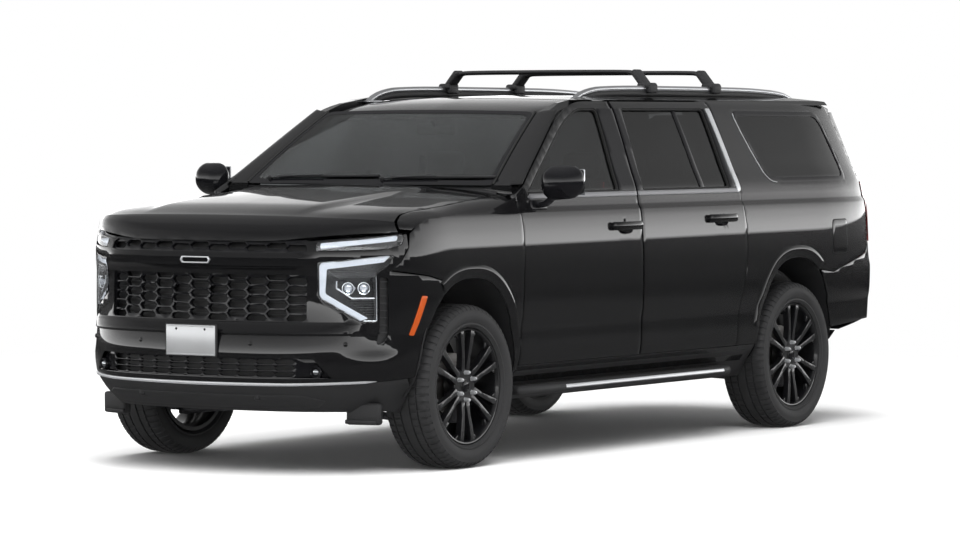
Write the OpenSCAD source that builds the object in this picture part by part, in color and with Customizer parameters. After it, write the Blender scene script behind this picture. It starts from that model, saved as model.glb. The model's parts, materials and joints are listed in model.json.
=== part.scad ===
// Full-size family SUV: separate body panels on a ladder frame, with opening doors, hood and liftgate,
// steered front knuckles and wheels that turn. Millimetres. The origin is on the ground at mid length
// on the centre line; the front faces -Y, the vehicle's left is +X and +Z is up.

/* [Overall] */
// Distance between the axles
wheelbase = 3407; // [3300:1:4200]
// Front axle to the front face
front_overhang = 1020; // [950:1:1250]
// Rear axle to the rear face
rear_overhang = 1306; // [1150:1:1600]
// Width across the wheel flares
body_width = 2059; // [1750:1:2500]
// Height of the roof skin at mid length
roof_height = 1908; // [1850:1:2300]
// Height of the body's lower edge
sill_height = 410; // [360:1:460]
// Height of the window line
belt_height = 1380; // [1330:1:1450]

/* [Wheels] */
// Outer diameter of a tyre
tyre_diameter = 834; // [690:1:900]
// Width of a tyre
tyre_width = 275; // [225:1:335]
// Outer diameter of the rim flange
rim_diameter = 594; // [490:1:640]
// Body side to the outer face of a tyre
tyre_inset = 19; // [10:1:60]
// Radius of the stub axle that a wheel turns on
stub_radius = 30; // [22:1:38]
// Wheel nuts on each wheel
nut_count = 6; // [5:1:8]
// Steering axis inboard of the tyre's middle plane
kingpin_offset = 45; // [30:1:70]

/* [Doors] */
// Front axle to the front door's leading edge
door_setback = 475; // [465:1:560]
// Length of a front door
front_door_length = 1213; // [1050:1:1300]
// Length of a rear door
rear_door_length = 1128; // [950:1:1160]
// Thickness of a door below the window line
door_thickness = 85; // [60:1:105]
// Thickness of a door's window frame
frame_thickness = 45; // [35:1:55]
// Gap between neighbouring panels
panel_gap = 7; // [6:1:9]
// Thickness of the glass
glass_thickness = 6; // [4:1:8]

/* [Panels] */
// Thickness of a fixed body panel
panel_wall = 30; // [20:1:40]
// Thickness of the hood
hood_thickness = 32; // [24:1:40]
// Depth of the liftgate
liftgate_depth = 70; // [50:1:90]
// How far a wheel flare stands out
flare_depth = 14; // [8:1:20]

/* [Hitch and plate] */
// Inside width of the square hitch receiver
receiver_bore = 51; // [40:1:62]
// Wall of the hitch receiver
receiver_wall = 6.5; // [5:0.5:9]
// Diameter of the hitch pin hole
hitch_pin = 16; // [12:1:20]
// Distance between the two rear plate screws
plate_screw_pitch = 178; // [150:1:210]
// Diameter of a plate screw hole
plate_screw = 6; // [5:0.5:8]

/* [Hidden] */
$fn = 48;

half_width = body_width / 2;
body_length = front_overhang + wheelbase + rear_overhang;
front_face = -body_length / 2;
rear_face = body_length / 2;
front_axle = front_face + front_overhang;
rear_axle_y = front_axle + wheelbase;
tyre_radius = tyre_diameter / 2;
rim_radius = rim_diameter / 2;
sidewall = tyre_radius - rim_radius;
wheel_x = half_width - tyre_inset - tyre_width / 2;
kingpin_x = wheel_x - kingpin_offset;
skin_x = half_width - flare_depth;            // widest place of a door's skin
door_front = front_axle + door_setback;
door_split = door_front + front_door_length;
door_rear = door_split + panel_gap + rear_door_length;
seat_fit = 0.3;                               // gap round a part that sits in another
cabin_wall = door_thickness + 25;             // side of the body to the edge of the floor
floor_z = sill_height + 180;                    // underside of the floor, less its ribs
hinge_room = 14;                              // room behind a door's hinge edge
running_fit = 0.05;                           // radial clearance of a wheel on its stub axle
roof_edge = roof_height - 68;                 // top of the side glass
rise = roof_height - belt_height;             // height of the greenhouse
cowl_y = door_front + 56;                     // foot of the windshield
cowl_z = belt_height + 50;
header_z = roof_height - 94;                  // top of the windshield
glass_run = 598;                              // run of the windshield
glass_slope = glass_run / (header_z - cowl_z);
header_y = cowl_y + glass_run;
gate_hinge_y = rear_face - 500;               // front edge of the liftgate at the roof
gate_half = skin_x - 285;                     // half width of the liftgate
hood_rear = cowl_y - 35;
hood_half = skin_x - 165;                     // half width of the hood
nose_z = 1290;                                // top of the nose
hood_slope = atan((cowl_z - nose_z) / (cowl_y - front_face - 150));
bumper_split = front_axle - 470;              // where the front bumper meets the fender
draft = 14;                                   // slant of the door edges, in plan, degrees

// ---- outlines -------------------------------------------------------------------------------------
function unit(v) = v / norm(v);
// Moves every edge of a counter-clockwise outline inwards by t.
function inset(p, t) = [for (i = [0:len(p) - 1])
  let (a = p[(i + len(p) - 1) % len(p)], b = p[i], c = p[(i + 1) % len(p)],
       u = unit(b - a), v = unit(c - b), n = [-u[1], u[0]], m = [-v[1], v[0]])
  b + t * (n + m) / (1 + n * m)];
function flip(p) = [for (i = [len(p) - 1:-1:0]) [-p[i][0], p[i][1]]];

// Side of the body, as [height, half width].
side_curve = [[sill_height, skin_x - 85], [sill_height + 90, skin_x - 30], [sill_height + 190, skin_x - 12],
  [sill_height + 290, skin_x - 4], [sill_height + 440, skin_x], [1000, skin_x], [1150, skin_x - 6],
  [belt_height - 85, skin_x - 19], [belt_height - 70, skin_x - 27], [belt_height, skin_x - 39],
  [belt_height + rise * 0.43, skin_x - 127], [roof_edge, skin_x - 235], [roof_edge + 38, skin_x - 270],
  [roof_edge + 56, skin_x - 320]];
function side_x(z) = lookup(z, side_curve);
// Right half of a cross-section, listed upwards, its lower edge dropped by d.
function section_half(d) = concat([[side_curve[0][1], sill_height - d]],
  [for (i = [1:len(side_curve) - 1]) [side_curve[i][1], side_curve[i][0]]],
  [[skin_x - 560, roof_height]]);
function section_outline(d) = concat(section_half(d), flip(section_half(d)));
function nose_half(d) = [[skin_x - 85, sill_height - 220 - d], [skin_x - 12, sill_height + 190],
  [skin_x, sill_height + 440], [skin_x, cowl_z - 330], [skin_x - 7, cowl_z - 250],
  [skin_x - 25, cowl_z - 145], [skin_x - 60, cowl_z - 85], [skin_x - 130, cowl_z - 50],
  [skin_x - 300, cowl_z - 25], [skin_x - 620, cowl_z]];
function nose_outline(d) = concat(nose_half(d), flip(nose_half(d)));
// Plan of the left half, front to rear.
// The body above the bumpers ends "back" short of the rear face.
function plan_half(back) = [[skin_x - 715, front_face], [skin_x - 465, front_face + 65],
  [skin_x - 265, front_face + 175], [skin_x - 130, front_face + 320], [skin_x - 45, front_face + 480],
  [skin_x, front_face + 640], [skin_x, rear_face - 850], [skin_x - 30, rear_face - 500 - back],
  [skin_x - 85, rear_face - 300 - back], [skin_x - 145, rear_face - 190 - back],
  [skin_x - 225, rear_face - 100 - back], [skin_x - 420, rear_face - 25 - back],
  [skin_x - 700, rear_face - back]];
function plan_outline(back) = concat(plan_half(back), flip(plan_half(back)));
rear_tuck = 60;                               // upper body ahead of the bumper's corner
// Side view, as [y, z], counter-clockwise from the front's lower edge.
function profile_outline(d) = [[front_face + 130, 310 - d], [rear_face - 60, 310 - d],
  [rear_face - 30, 600], [rear_face, 740], [rear_face - 10, 905], [rear_face - 75, 960],
  [rear_face - 110, belt_height - 80], [rear_face - 290, roof_edge - 20], [rear_face - 320, roof_edge + 22],
  [rear_face - 860, roof_height - 12], [rear_face - 1500, roof_height], [header_y + 800, roof_height],
  [header_y + 420, roof_height - 14], [header_y + 160, roof_height - 48], [header_y, header_z],
  [cowl_y, cowl_z],
  [front_face + 165, nose_z], [front_face + 100, nose_z - 50], [front_face + 75, nose_z - 120],
  [front_face + 45, nose_z - 190], [front_face + 40, nose_z - 240], [front_face + 65, nose_z - 290],
  [front_face + 60, 770], [front_face + 18, 700], [front_face + 4, 620], [front_face, 460],
  [front_face + 20, 400]];
// Wheel opening about an axle: upright sides below, a round top.
function arch(y, half, top) = concat([[y + half, -50]],
  [for (a = [0:12:180]) [y + half * sign(cos(a)) * pow(abs(cos(a)), 0.8),
    tyre_radius + (top - tyre_radius) * sin(a)]], [[y - half, -50]]);
front_arch_half = tyre_radius + 21;
rear_arch_half = tyre_radius + 24;
arch_top = tyre_radius + 553;
// Upright door edge that both doors share, listed upwards.
split_line = [[door_split, sill_height + 90], [door_split - 2, 700], [door_split - 15, belt_height - 80],
  [door_split - 12, belt_height], [door_split + 42, roof_edge + 30]];
front_door_line = [[door_front, sill_height + 90], [door_front + 8, 800], [door_front + 22, 1100],
  [door_front, belt_height - 75], [door_front + 2, belt_height + 5], [door_front + 105, belt_height + 60],
  [door_front + 105 + glass_slope * (roof_edge - belt_height - 30), roof_edge + 30]];
rear_door_line = [[door_rear - 90, sill_height + 90], [door_rear - 80, 720], [door_rear - 25, 870],
  [door_rear, 1050], [door_rear - 25, belt_height - 100], [door_rear - 15, belt_height + 20],
  [door_rear - 50, roof_edge + 30]];
function backwards(p) = [for (i = [len(p) - 1:-1:0]) p[i]];
function shifted(p, dy) = [for (q = p) [q[0] + dy, q[1]]];
front_door_outline = concat(split_line, backwards(front_door_line));
rear_door_outline = concat(rear_door_line, backwards(shifted(split_line, panel_gap)));
front_window_outline = [[door_split - 205, belt_height + 4], [door_split - 135, roof_edge - 12],
  [door_front + 110 + glass_slope * (roof_edge - belt_height - 35), roof_edge - 12],
  [door_front + 110, belt_height + 24], [door_front + 100, belt_height + 4]];
side_window_outline = [[door_rear - 125, belt_height + 4], [door_rear - 122, roof_edge - 12],
  [door_split + 130, roof_edge - 12], [door_split + 62, belt_height + 4]];
quarter_window_outline = [[rear_face - 610, belt_height + 48], [rear_face - 570, belt_height + 70],
  [rear_face - 665, roof_edge - 50], [door_rear + 195, roof_edge - 40], [door_rear + 370, belt_height + 60],
  [door_rear + 400, belt_height + 48]];

// ---- building blocks ------------------------------------------------------------------------------
module side_prism(p, x0, x1) translate([x0, 0, 0]) rotate([90, 0, 90]) linear_extrude(x1 - x0) polygon(p);
module plan_prism(p, z0, z1) translate([0, 0, z0]) linear_extrude(z1 - z0) polygon(p);
module section_prism(p, y0, y1) translate([0, y1, 0]) rotate([90, 0, 0]) linear_extrude(y1 - y0) polygon(p);
module box(a, b) translate(a) cube(b - a);
module both() { children(); mirror([1, 0, 0]) children(); }
module side(left) mirror([left ? 0 : 1, 0, 0]) children();
// A straight round bar between two points.
module bar(a, b, r) {
  v = b - a;
  translate(a) rotate([0, acos(v[2] / norm(v)), atan2(v[1], v[0])]) cylinder(r = r, h = norm(v));
}
// The whole body behind the cowl, drawn in by t.
module cabin_form(t, back = rear_tuck) {
  d = t > 0 ? t + 60 : 0;
  intersection() {
    section_prism(inset(section_outline(d), t), front_face - 10, rear_face + 10);
    plan_prism(inset(plan_outline(back), t), 0, roof_height + 50);
    side_prism(inset(profile_outline(d), t), -half_width, half_width);
  }
}
// The body ahead of the windshield, its section following the hood's slope.
module nose_form(t) {
  d = t > 0 ? t + 60 : 0;
  intersection() {
    translate([0, cowl_y, cowl_z]) rotate([hood_slope, 0, 0]) translate([0, 0, -cowl_z])
      section_prism(inset(nose_outline(d), t), front_face - cowl_y - 100, 300);
    plan_prism(inset(plan_outline(0), t), 0, roof_height + 50);
    side_prism(inset(profile_outline(d), t), -half_width, half_width);
  }
}
// A side-view outline cut through the left side wall, slanted so that a closed door can swing out.
module door_cut(p, grow, x0) {
  q = inset([for (v = p) [(v[0] - door_front) * cos(draft), v[1]]], -grow);
  translate([skin_x, door_front, 0]) rotate([0, 0, draft])
    side_prism(q, x0 - skin_x, half_width);
}
// Side wall between heights z0 and z1: its outer face lies at "out" and its inner face at "deep" from the skin.
module side_wall(out, deep, z0, z1, y0, y1) {
  zs = concat([z0], [for (s = side_curve) if (s[0] > z0 && s[0] < z1) s[0]], [z1]);
  section_prism(concat([for (z = zs) [side_x(z) - out, z]], [for (z = backwards(zs)) [side_x(z) - deep, z]]),
    y0, y1);
}

// ---- chassis --------------------------------------------------------------------------------------
rail_x = 440;
rail_w = 80;
rail_z = tyre_radius + 80;
rail_h = 110;
module frame_rails() color("#1c1c1e") both() union() {
  box([rail_x - rail_w / 2, front_face + 230, rail_z], [rail_x + rail_w / 2, rear_face - 160, rail_z + rail_h]);
  // arm that carries the front bumper
  box([rail_x - rail_w / 2, front_face + 140, rail_z + 5],
    [rail_x + rail_w / 2, front_face + 231, rail_z + 90]);
}

rail_inner = rail_x - rail_w / 2 - seat_fit;
module cross_members() color("#1c1c1e") {
  for (y = [front_face + 330, front_axle + 330])
    box([-rail_inner, y - 45, rail_z + 12], [rail_inner, y + 45, rail_z + 72]);
  // members that carry the floor on two feet
  for (y = [door_split - 200, rear_axle_y - 420, rear_axle_y + 430]) union() {
    box([-rail_inner, y - 45, rail_z + 12], [rail_inner, y + 45, rail_z + 72]);
    both() box([200, y - 30, rail_z + 71], [260, y + 30, floor_z + 20 - seat_fit]);
  }
  box([-rail_inner, rear_face - 275, rail_z + 12], [rail_inner, rear_face - 185, rail_z + 72]);
  // outriggers that carry the cabin and the running boards
  both() for (y = [door_front + 420, door_rear - 420])
    box([rail_x + rail_w / 2 + seat_fit, y - 40, rail_z - 25],
      [side_x(sill_height) - cabin_wall - seat_fit, y + 40, rail_z + 15]);
}

// Cross-tube, its brackets below the rails, and the square receiver.
module tow_hitch() color("#1c1c1e") {
  receiver_out = receiver_bore + 2 * receiver_wall;
  receiver_z = rail_z - 67;
  difference() {
    union() {
      translate([-rail_x - 30, rear_face - 225, receiver_z]) rotate([0, 90, 0])
        cylinder(r = 32, h = 2 * rail_x + 60);
      both() box([rail_x - 30, rear_face - 260, receiver_z - 40],
        [rail_x + 30, rear_face - 190, rail_z - seat_fit]);
      box([-receiver_out / 2, rear_face - 240, receiver_z - receiver_out / 2],
        [receiver_out / 2, rear_face - 30, receiver_z + receiver_out / 2]);
    }
    box([-receiver_bore / 2, rear_face - 190, receiver_z - receiver_bore / 2],
      [receiver_bore / 2, rear_face, receiver_z + receiver_bore / 2]);
    translate([-receiver_out, rear_face - 90, receiver_z]) rotate([0, 90, 0])
      cylinder(d = hitch_pin, h = 2 * receiver_out);
  }
}

strut_x = rail_x + 165;
arm_lower = -190;                             // ball joints below and above the wheel's centre
arm_upper = 185;
ball_pin = 10;
module front_suspension() color("#2a2a2c") both() translate([0, front_axle, tyre_radius]) {
  side_y = 150;
  rail_low = rail_z - tyre_radius;
  // lower arm with its ball pin, upper arm with its own, and their pivots on the frame
  for (s = [-1, 1]) {
    bar([rail_x + 20, s * side_y, arm_lower + 40], [kingpin_x - 22, s * 6, arm_lower], 20);
    bar([rail_x + rail_w / 2 + 20, s * side_y * 0.7, arm_upper - 15], [kingpin_x - 18, s * 5, arm_upper], 13);
    box([rail_x - 30, s * side_y - 30, arm_lower + 20], [rail_x + 30, s * side_y + 30, rail_low - seat_fit]);
    box([rail_x + rail_w / 2 + seat_fit, s * side_y * 0.7 - 20, arm_upper - 35],
      [rail_x + rail_w / 2 + 35, s * side_y * 0.7 + 20, arm_upper + 8]);
  }
  translate([kingpin_x, 0, arm_lower - 18]) cylinder(r = 24, h = 36);
  translate([kingpin_x, 0, arm_lower]) cylinder(r = ball_pin, h = 50);
  translate([kingpin_x, 0, arm_upper - 12]) cylinder(r = 22, h = 26);
  translate([kingpin_x, 0, arm_upper - 45]) cylinder(r = ball_pin, h = 50);
  // coil-over unit and its tower on the frame
  bar([strut_x + 30, 0, arm_lower + 10], [strut_x - 20, 0, 430], 26);
  bar([strut_x + 5, 0, 0], [strut_x - 18, 0, 400], 50);
  box([rail_x - 30, -45, 425], [strut_x + 40, 45, 445]);
  box([rail_x - 30, -45, rail_low + rail_h + seat_fit], [rail_x + 10, 45, 430]);
}

// Upright with its stub axle; it turns on the ball pins and carries a wheel.
module knuckle() color("#3a3a3c") translate([0, front_axle, tyre_radius]) difference() {
  union() {
    translate([kingpin_x, 0, arm_lower + 20]) cylinder(r = 20, h = arm_upper - arm_lower - 36);
    translate([kingpin_x - 20, 0, 0]) rotate([0, 90, 0]) cylinder(r = 60, h = 30);
    translate([kingpin_x, 0, 0]) rotate([0, 90, 0]) cylinder(r = stub_radius, h = wheel_x + 72 - kingpin_x);
    // steering arm
    box([kingpin_x - 18, 20, -60], [kingpin_x + 10, 150, -38]);
  }
  translate([kingpin_x, 0, arm_lower]) cylinder(r = ball_pin + running_fit, h = 52);
  translate([kingpin_x, 0, arm_upper - 47]) cylinder(r = ball_pin + running_fit, h = 52);
}

module rear_axle() color("#2a2a2c") translate([0, rear_axle_y, tyre_radius]) {
  union() {
    // final drive, half-shafts, uprights and stub axles
    rotate([0, 90, 0]) translate([0, 0, -150]) cylinder(r = 115, h = 300);
    bar([0, -300, 15], [0, -60, 0], 60);
    both() {
      bar([100, 0, 0], [wheel_x - 60, 0, 0], 24);
      translate([wheel_x - 92, 0, -150]) cylinder(r = 30, h = 330);
      translate([wheel_x - 95, 0, 0]) rotate([0, 90, 0]) cylinder(r = 66, h = 50);
      translate([wheel_x - 60, 0, 0]) rotate([0, 90, 0]) cylinder(r = stub_radius, h = 132);
      for (y = [-170, 110]) {
        bar([300, y, -110], [wheel_x - 92, y * 0.1, -140], 24);
        bar([rail_x - 20, y, 22], [wheel_x - 92, y * 0.1, 165], 18);
      }
    }
    // carrier that ties the arms to the frame
    for (y = [-170, 110]) {
      box([-rail_x, y - 40, -135], [rail_x, y + 40, -85]);
      both() box([rail_x - 35, y - 40, -135], [rail_x + 35, y + 40, rail_z - tyre_radius - seat_fit]);
    }
    box([-60, -170, -130], [60, 110, -60]);
  }
}

module exhaust() color("#77777a") {
  pipe_z = rail_z - 90;
  bar([-250, front_axle + 520, pipe_z], [-250, door_split + 100, pipe_z], 32);
  translate([-250, door_split + 99, pipe_z]) rotate([-90, 0, 0]) cylinder(r = 105, h = 620);
  bar([-250, door_split + 718, pipe_z], [-250, rear_axle_y - 330, pipe_z], 32);
  // hangers up to the cross-members
  bar([-250, door_split - 200, pipe_z + 20], [-250, door_split - 200, rail_z + 12 - seat_fit], 12);
  box([-270, rear_axle_y - 440, pipe_z + 20], [-230, rear_axle_y - 400, rail_z + 12 - seat_fit]);
}

module engine_block() color("#55565a") {
  box([-270, front_face + 420, rail_z + 90], [270, front_axle + 420, cowl_z - 245]);
  // gearbox and its tail
  box([-170, front_axle + 419, rail_z + 90], [170, front_axle + tyre_radius + 80, rail_z + 330]);
  both() box([230, front_axle + 200, rail_z + 72 + seat_fit],
    [rail_x - rail_w / 2 - seat_fit, front_axle + 280, rail_z + 110]);
}

// ---- body -----------------------------------------------------------------------------------------
module floor_pan() color("#202022") {
  inner = side_x(sill_height) - cabin_wall - seat_fit;
  toe_y = front_axle + tyre_radius + 95;
  house_x = wheel_x - tyre_width / 2 - 45;
  difference() {
    union() {
      // flat floor over the frame, sloped dash wall
      box([-inner, toe_y, floor_z + 20], [inner, rear_face - 330, floor_z + 50]);
      side_prism([[toe_y, floor_z + 20], [toe_y + 25, floor_z + 20], [cowl_y + 15, belt_height - 60],
        [cowl_y + 15, cowl_z - 70], [cowl_y - 30, cowl_z - 70], [cowl_y - 30, belt_height - 60]], -inner, inner);
      // wheel houses
      both() intersection() {
        translate([house_x, rear_axle_y, tyre_radius]) rotate([0, 90, 0])
          cylinder(r = tyre_radius + 75, h = inner - house_x);
        box([0, rear_axle_y - 700, floor_z + 20], [inner, rear_axle_y + 700, roof_height]);
      }
    }
    both() translate([house_x + 20, rear_axle_y, tyre_radius]) rotate([0, 90, 0])
      cylinder(r = tyre_radius + 60, h = tyre_width + 100);
  }
}

module tyre_room(left, y, half, top)
  side_prism(arch(y, half, top), wheel_x - tyre_width / 2 - 60, half_width + 5);

// Room for a closed door in the posts and pillars behind it, deeper along the hinge edge at hinge_y,
// which swings inwards a little as the door opens.
module door_pocket(p, hinge_y) intersection() {
  union() {
    side_wall(-20, door_thickness + hinge_room, sill_height + 50, belt_height - 5,
      hinge_y - 200, hinge_y + 90);
    side_wall(-20, frame_thickness + hinge_room, belt_height - 5.5, roof_edge + 50,
      hinge_y - 200, hinge_y + 90);
    side_wall(-20, door_thickness + seat_fit, sill_height + 50, belt_height - 5,
      door_front - 200, door_rear + 200);
    side_wall(-20, frame_thickness + seat_fit, belt_height - 5.5, roof_edge + 50,
      door_front - 200, door_rear + 200);
  }
  door_cut(p, panel_gap, 300);
}
// Pillars, roof side rails and rockers of both sides.
module side_frames() color("#0c0c0d") both() difference() {
  union() {
    // rocker
    intersection() {
      cabin_form(0);
      box([side_x(sill_height) - cabin_wall, door_front - 2, sill_height],
        [half_width, rear_axle_y - rear_arch_half - 85, sill_height + 90 - panel_gap]);
    }
    // upright flange of the rocker, at the floor's edge
    box([side_x(sill_height) - cabin_wall, front_axle + tyre_radius + 155, sill_height + 20],
      [side_x(sill_height) - door_thickness, rear_axle_y - tyre_radius - 90, floor_z + 50]);
    // posts behind the doors: hinge post, middle post and rear post
    for (y = [door_front + 30, door_split - 60, door_rear - 165])
      side_wall(door_thickness + seat_fit, door_thickness + 70, sill_height + 76, belt_height, y, y + 100);
    for (y = [door_split - 40, door_rear - 100])
      side_wall(frame_thickness + seat_fit, door_thickness + 70, belt_height - 5, roof_edge + 10, y, y + 100);
    // windshield pillar and roof side rail
    difference() {
      intersection() {
        difference() { cabin_form(0); cabin_form(70); }
        union() {
          box([skin_x - 460, cowl_y - 5, belt_height + 6], [half_width, header_y + 200, roof_height]);
          box([skin_x - 340, header_y, roof_edge - 90], [half_width, gate_hinge_y - 8, roof_height]);
        }
      }
      side_prism(inset(front_door_outline, 50), 0, half_width);
      side_prism(inset(rear_door_outline, 50), 0, half_width);
      // quarter panel's own place
      box([0, door_rear - 43, 0], [half_width, rear_face, roof_edge + 12]);
      windshield_prism(seat_fit);
      box([0, header_y - 3, header_z - 90], [skin_x - 323 + seat_fit, rear_face, roof_height + 50]);
    }
  }
  door_pocket(front_door_outline, door_front);
  door_pocket(rear_door_outline, door_split);
  // the pillar's foot stays inboard of the door's edge
  box([skin_x - 85, door_front - 20, belt_height], [half_width, door_front + 160, belt_height + 130]);
  box([0, door_rear - 43, sill_height + 60], [half_width, door_rear + 60, roof_edge + 12]);
}

module windshield_prism(grow) {
  top = skin_x - 345 + grow;
  foot = skin_x - 228 + grow;
  section_prism([[-foot, cowl_z - 20], [foot, cowl_z - 20], [top, header_z + 2], [-top, header_z + 2]],
    cowl_y - 200, header_y + 60);
}
module windshield() color("#30363a", 0.5) intersection() {
  difference() { cabin_form(6); cabin_form(6 + glass_thickness); }
  windshield_prism(0);
  box([-skin_x, cowl_y + 14, cowl_z + 4], [skin_x, header_y - 2 - seat_fit, header_z]);
}

module roof_panel() color("#0c0c0d") intersection() {
  difference() { cabin_form(0); cabin_form(panel_wall); }
  box([-skin_x + 323, header_y - 2, header_z - 26], [skin_x - 323, gate_hinge_y - panel_gap, roof_height + 10]);
}

module flare(y, half, top, y0, y1) intersection() {
  difference() {
    side_prism(inset(arch(y, half, top), -72), skin_x - 28, half_width);
    side_prism(arch(y, half, top), skin_x - 40, half_width + 5);
  }
  box([0, y0, sill_height + 80], [half_width, y1, 1400]);
}

module quarter_panels() color("#0c0c0d") both() difference() {
  union() {
    difference() {
      intersection() {
        difference() { cabin_form(0); cabin_form(panel_wall + 10); }
        box([gate_half + panel_gap, door_split + 700, sill_height],
          [half_width, rear_face, roof_edge + 12 - seat_fit]);
      }
      door_cut(rear_door_outline, panel_gap, 0);
      box([0, 0, 0], [half_width, door_rear - 43 + seat_fit, roof_height]);
      side_prism(inset(quarter_window_outline, -seat_fit), 500, half_width);
      // place of the bumper and of the tail lamp
      side_prism(bumper_side(seat_fit), 0, half_width);
      side_prism(tail_lamp_side(seat_fit), 0, half_width);
      box([0, rear_axle_y, 0], [half_width, rear_face + 10, 700]);
      box([0, door_split, 0],
        [half_width, rear_axle_y - rear_arch_half - 84.7, sill_height + 90 - panel_gap + seat_fit]);
    }
    // sill end between the door and the wheel opening
    intersection() {
      cabin_form(0);
      box([skin_x - 85, rear_axle_y - rear_arch_half - 84.7, sill_height],
        [half_width, rear_axle_y, sill_height + 350]);
      difference() {
        box([0, 0, 0], [half_width, rear_face, 900]);
        door_cut(rear_door_outline, panel_gap, 0);
      }
    }
    flare(rear_axle_y, rear_arch_half, arch_top, rear_axle_y - 700, rear_axle_y + 700);
  }
  tyre_room(true, rear_axle_y, rear_arch_half, arch_top);
  side_prism(bumper_side(seat_fit), 0, half_width);
}

function bumper_side(grow) = [[rear_axle_y + rear_arch_half - 60, 480 - grow], [rear_face + 20, 480 - grow],
  [rear_face + 20, 958 + grow], [rear_face - 190, 950 + grow], [rear_face - 500, 925 + grow],
  [rear_axle_y + rear_arch_half + 40, 905 + grow], [rear_axle_y + rear_arch_half - 60, 905 + grow]];
function tail_lamp_side(grow) = [[rear_face - 345 - grow, 1040 - grow], [rear_face, 1030 - grow],
  [rear_face, 1405 + grow], [rear_face - 420 - grow, 1405 + grow]];

module rear_bumper() color("#101012") union() {
  difference() {
    intersection() {
      difference() { cabin_form(0, 0); cabin_form(50, 0); }
      side_prism(bumper_side(0), -half_width, half_width);
      box([-half_width, 0, 480], [half_width, rear_face, 950]);
    }
    both() tyre_room(true, rear_axle_y, rear_arch_half + 12, arch_top);
    // room under the liftgate
    box([-gate_half - panel_gap, rear_face - 200, 912], [gate_half + panel_gap, rear_face, 1000]);
  }
  // rests that the closed liftgate stands on, and arms to the frame
  both() box([gate_half - 160, rear_face - 100, 870], [gate_half - 100, rear_face - 45, gate_foot - seat_fit]);
  both() box([rail_x - 30, rear_face - 160 + seat_fit, rail_z + 10], [rail_x + 30, rear_face - 45, rail_z + 90]);
}
gate_foot = 930;                              // lower edge of the liftgate

module tail_lamps() color("#7a1010") both() intersection() {
  difference() { cabin_form(0); cabin_form(panel_wall + 10); }
  side_prism(tail_lamp_side(0), gate_half + panel_gap, half_width);
}

module front_fenders() color("#0c0c0d") both() difference() {
  union() {
    intersection() {
      difference() { nose_form(0); nose_form(panel_wall); }
      difference() {
        union() {
          box([0, bumper_split, sill_height], [half_width, cowl_y + 10, cowl_z]);
          // strip between the hood and the headlamp
          box([0, front_face, 1206], [half_width, cowl_y, cowl_z]);
        }
        plan_prism(hood_outline(panel_gap), 1100, roof_height);
        box([0, front_face, 0], [hood_half, bumper_split - 400, roof_height]);
      }
    }
    flare(front_axle, front_arch_half, arch_top, bumper_split, door_front - panel_gap - 1);
  }
  tyre_room(true, front_axle, front_arch_half, arch_top);
  door_cut(front_door_outline, panel_gap, 0);
  side_prism([[door_front - 30, belt_height + 6], [door_front - 30, roof_height], [cowl_y + 100, roof_height],
    [cowl_y + 100, belt_height + 6]], 0, half_width);
  // nothing over the door or the window pillar
  box([0, door_front - panel_gap, 0], [half_width, cowl_y + 200, belt_height + 7]);
}

function hood_outline(grow) = inset([[-hood_half + 190, front_face - 20], [hood_half - 190, front_face - 20],
  [hood_half, front_face + 420], [hood_half, hood_rear], [-hood_half, hood_rear],
  [-hood_half, front_face + 420]], -grow);
module hood() color("#0c0c0d") intersection() {
  difference() { nose_form(0); nose_form(hood_thickness); }
  plan_prism(hood_outline(0), hood_lip, roof_height);
}

module front_bumper() color("#0c0c0d") union() {
  difference() {
    intersection() {
      difference() { nose_form(0); nose_form(60); }
      box([-half_width, front_face, 310], [half_width, bumper_split - seat_fit, 1170]);
    }
    // grille, lamps, hood and the openings below
    side_prism(grille_side(seat_fit), -grille_half - seat_fit, grille_half + seat_fit);
    both() side_prism(lamp_side(seat_fit), grille_half, half_width);
    box([-half_width, front_face, 1165], [half_width, bumper_split, 1400]);
    box([-520, front_face - 10, 490], [520, front_face + 100, 580]);
    both() tyre_room(true, front_axle, front_arch_half + 15, arch_top);
  }
  // arms to the frame
  both() box([rail_x - 30, front_face + 50, rail_z + 15], [rail_x + 30, front_face + 140 - seat_fit, rail_z + 80]);
}
// Rests under the closed hood, on the grille's top edge.
module hood_rests() both() intersection() {
  difference() { nose_form(2); nose_form(55); }
  box([300, front_face, 1140], [360, front_face + 260, hood_lip - seat_fit]);
}
hood_lip = 1180;                              // lower edge of the hood's front

grille_half = skin_x - 380;
function grille_side(grow) = [[front_face - 20, 770 - grow], [front_face + 400, 770 - grow],
  [front_face + 400, 1165 + grow], [front_face - 20, 1165 + grow]];
function lamp_side(grow) = [[front_face - 20, 780 - grow], [front_face + 330, 780 - grow],
  [front_face + 440 + grow, 1000], [front_face + 440 + grow, 1165 + grow + 35], [front_face - 20, 1165 + grow + 35]];
module grille() color("#060606") difference() {
  union() {
    intersection() {
      difference() { nose_form(25); nose_form(60); }
      side_prism(grille_side(0), -grille_half, grille_half);
      box([-grille_half, front_face, 770], [grille_half, front_face + 260, 1165]);
    }
    hood_rests();
  }
  // rows of openings
  for (z = [790:58:960], x = [-3:3])
    box([x * 165 - 68, front_face - 10, z], [x * 165 + 68, front_face + 260, z + 40]);
}
module headlamps() color("#c8ccd0") both() intersection() {
  difference() { nose_form(4); nose_form(60); }
  side_prism(lamp_side(0), grille_half + seat_fit, half_width);
  box([0, front_face, 700], [half_width, bumper_split - 20, 1165]);
}

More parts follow.
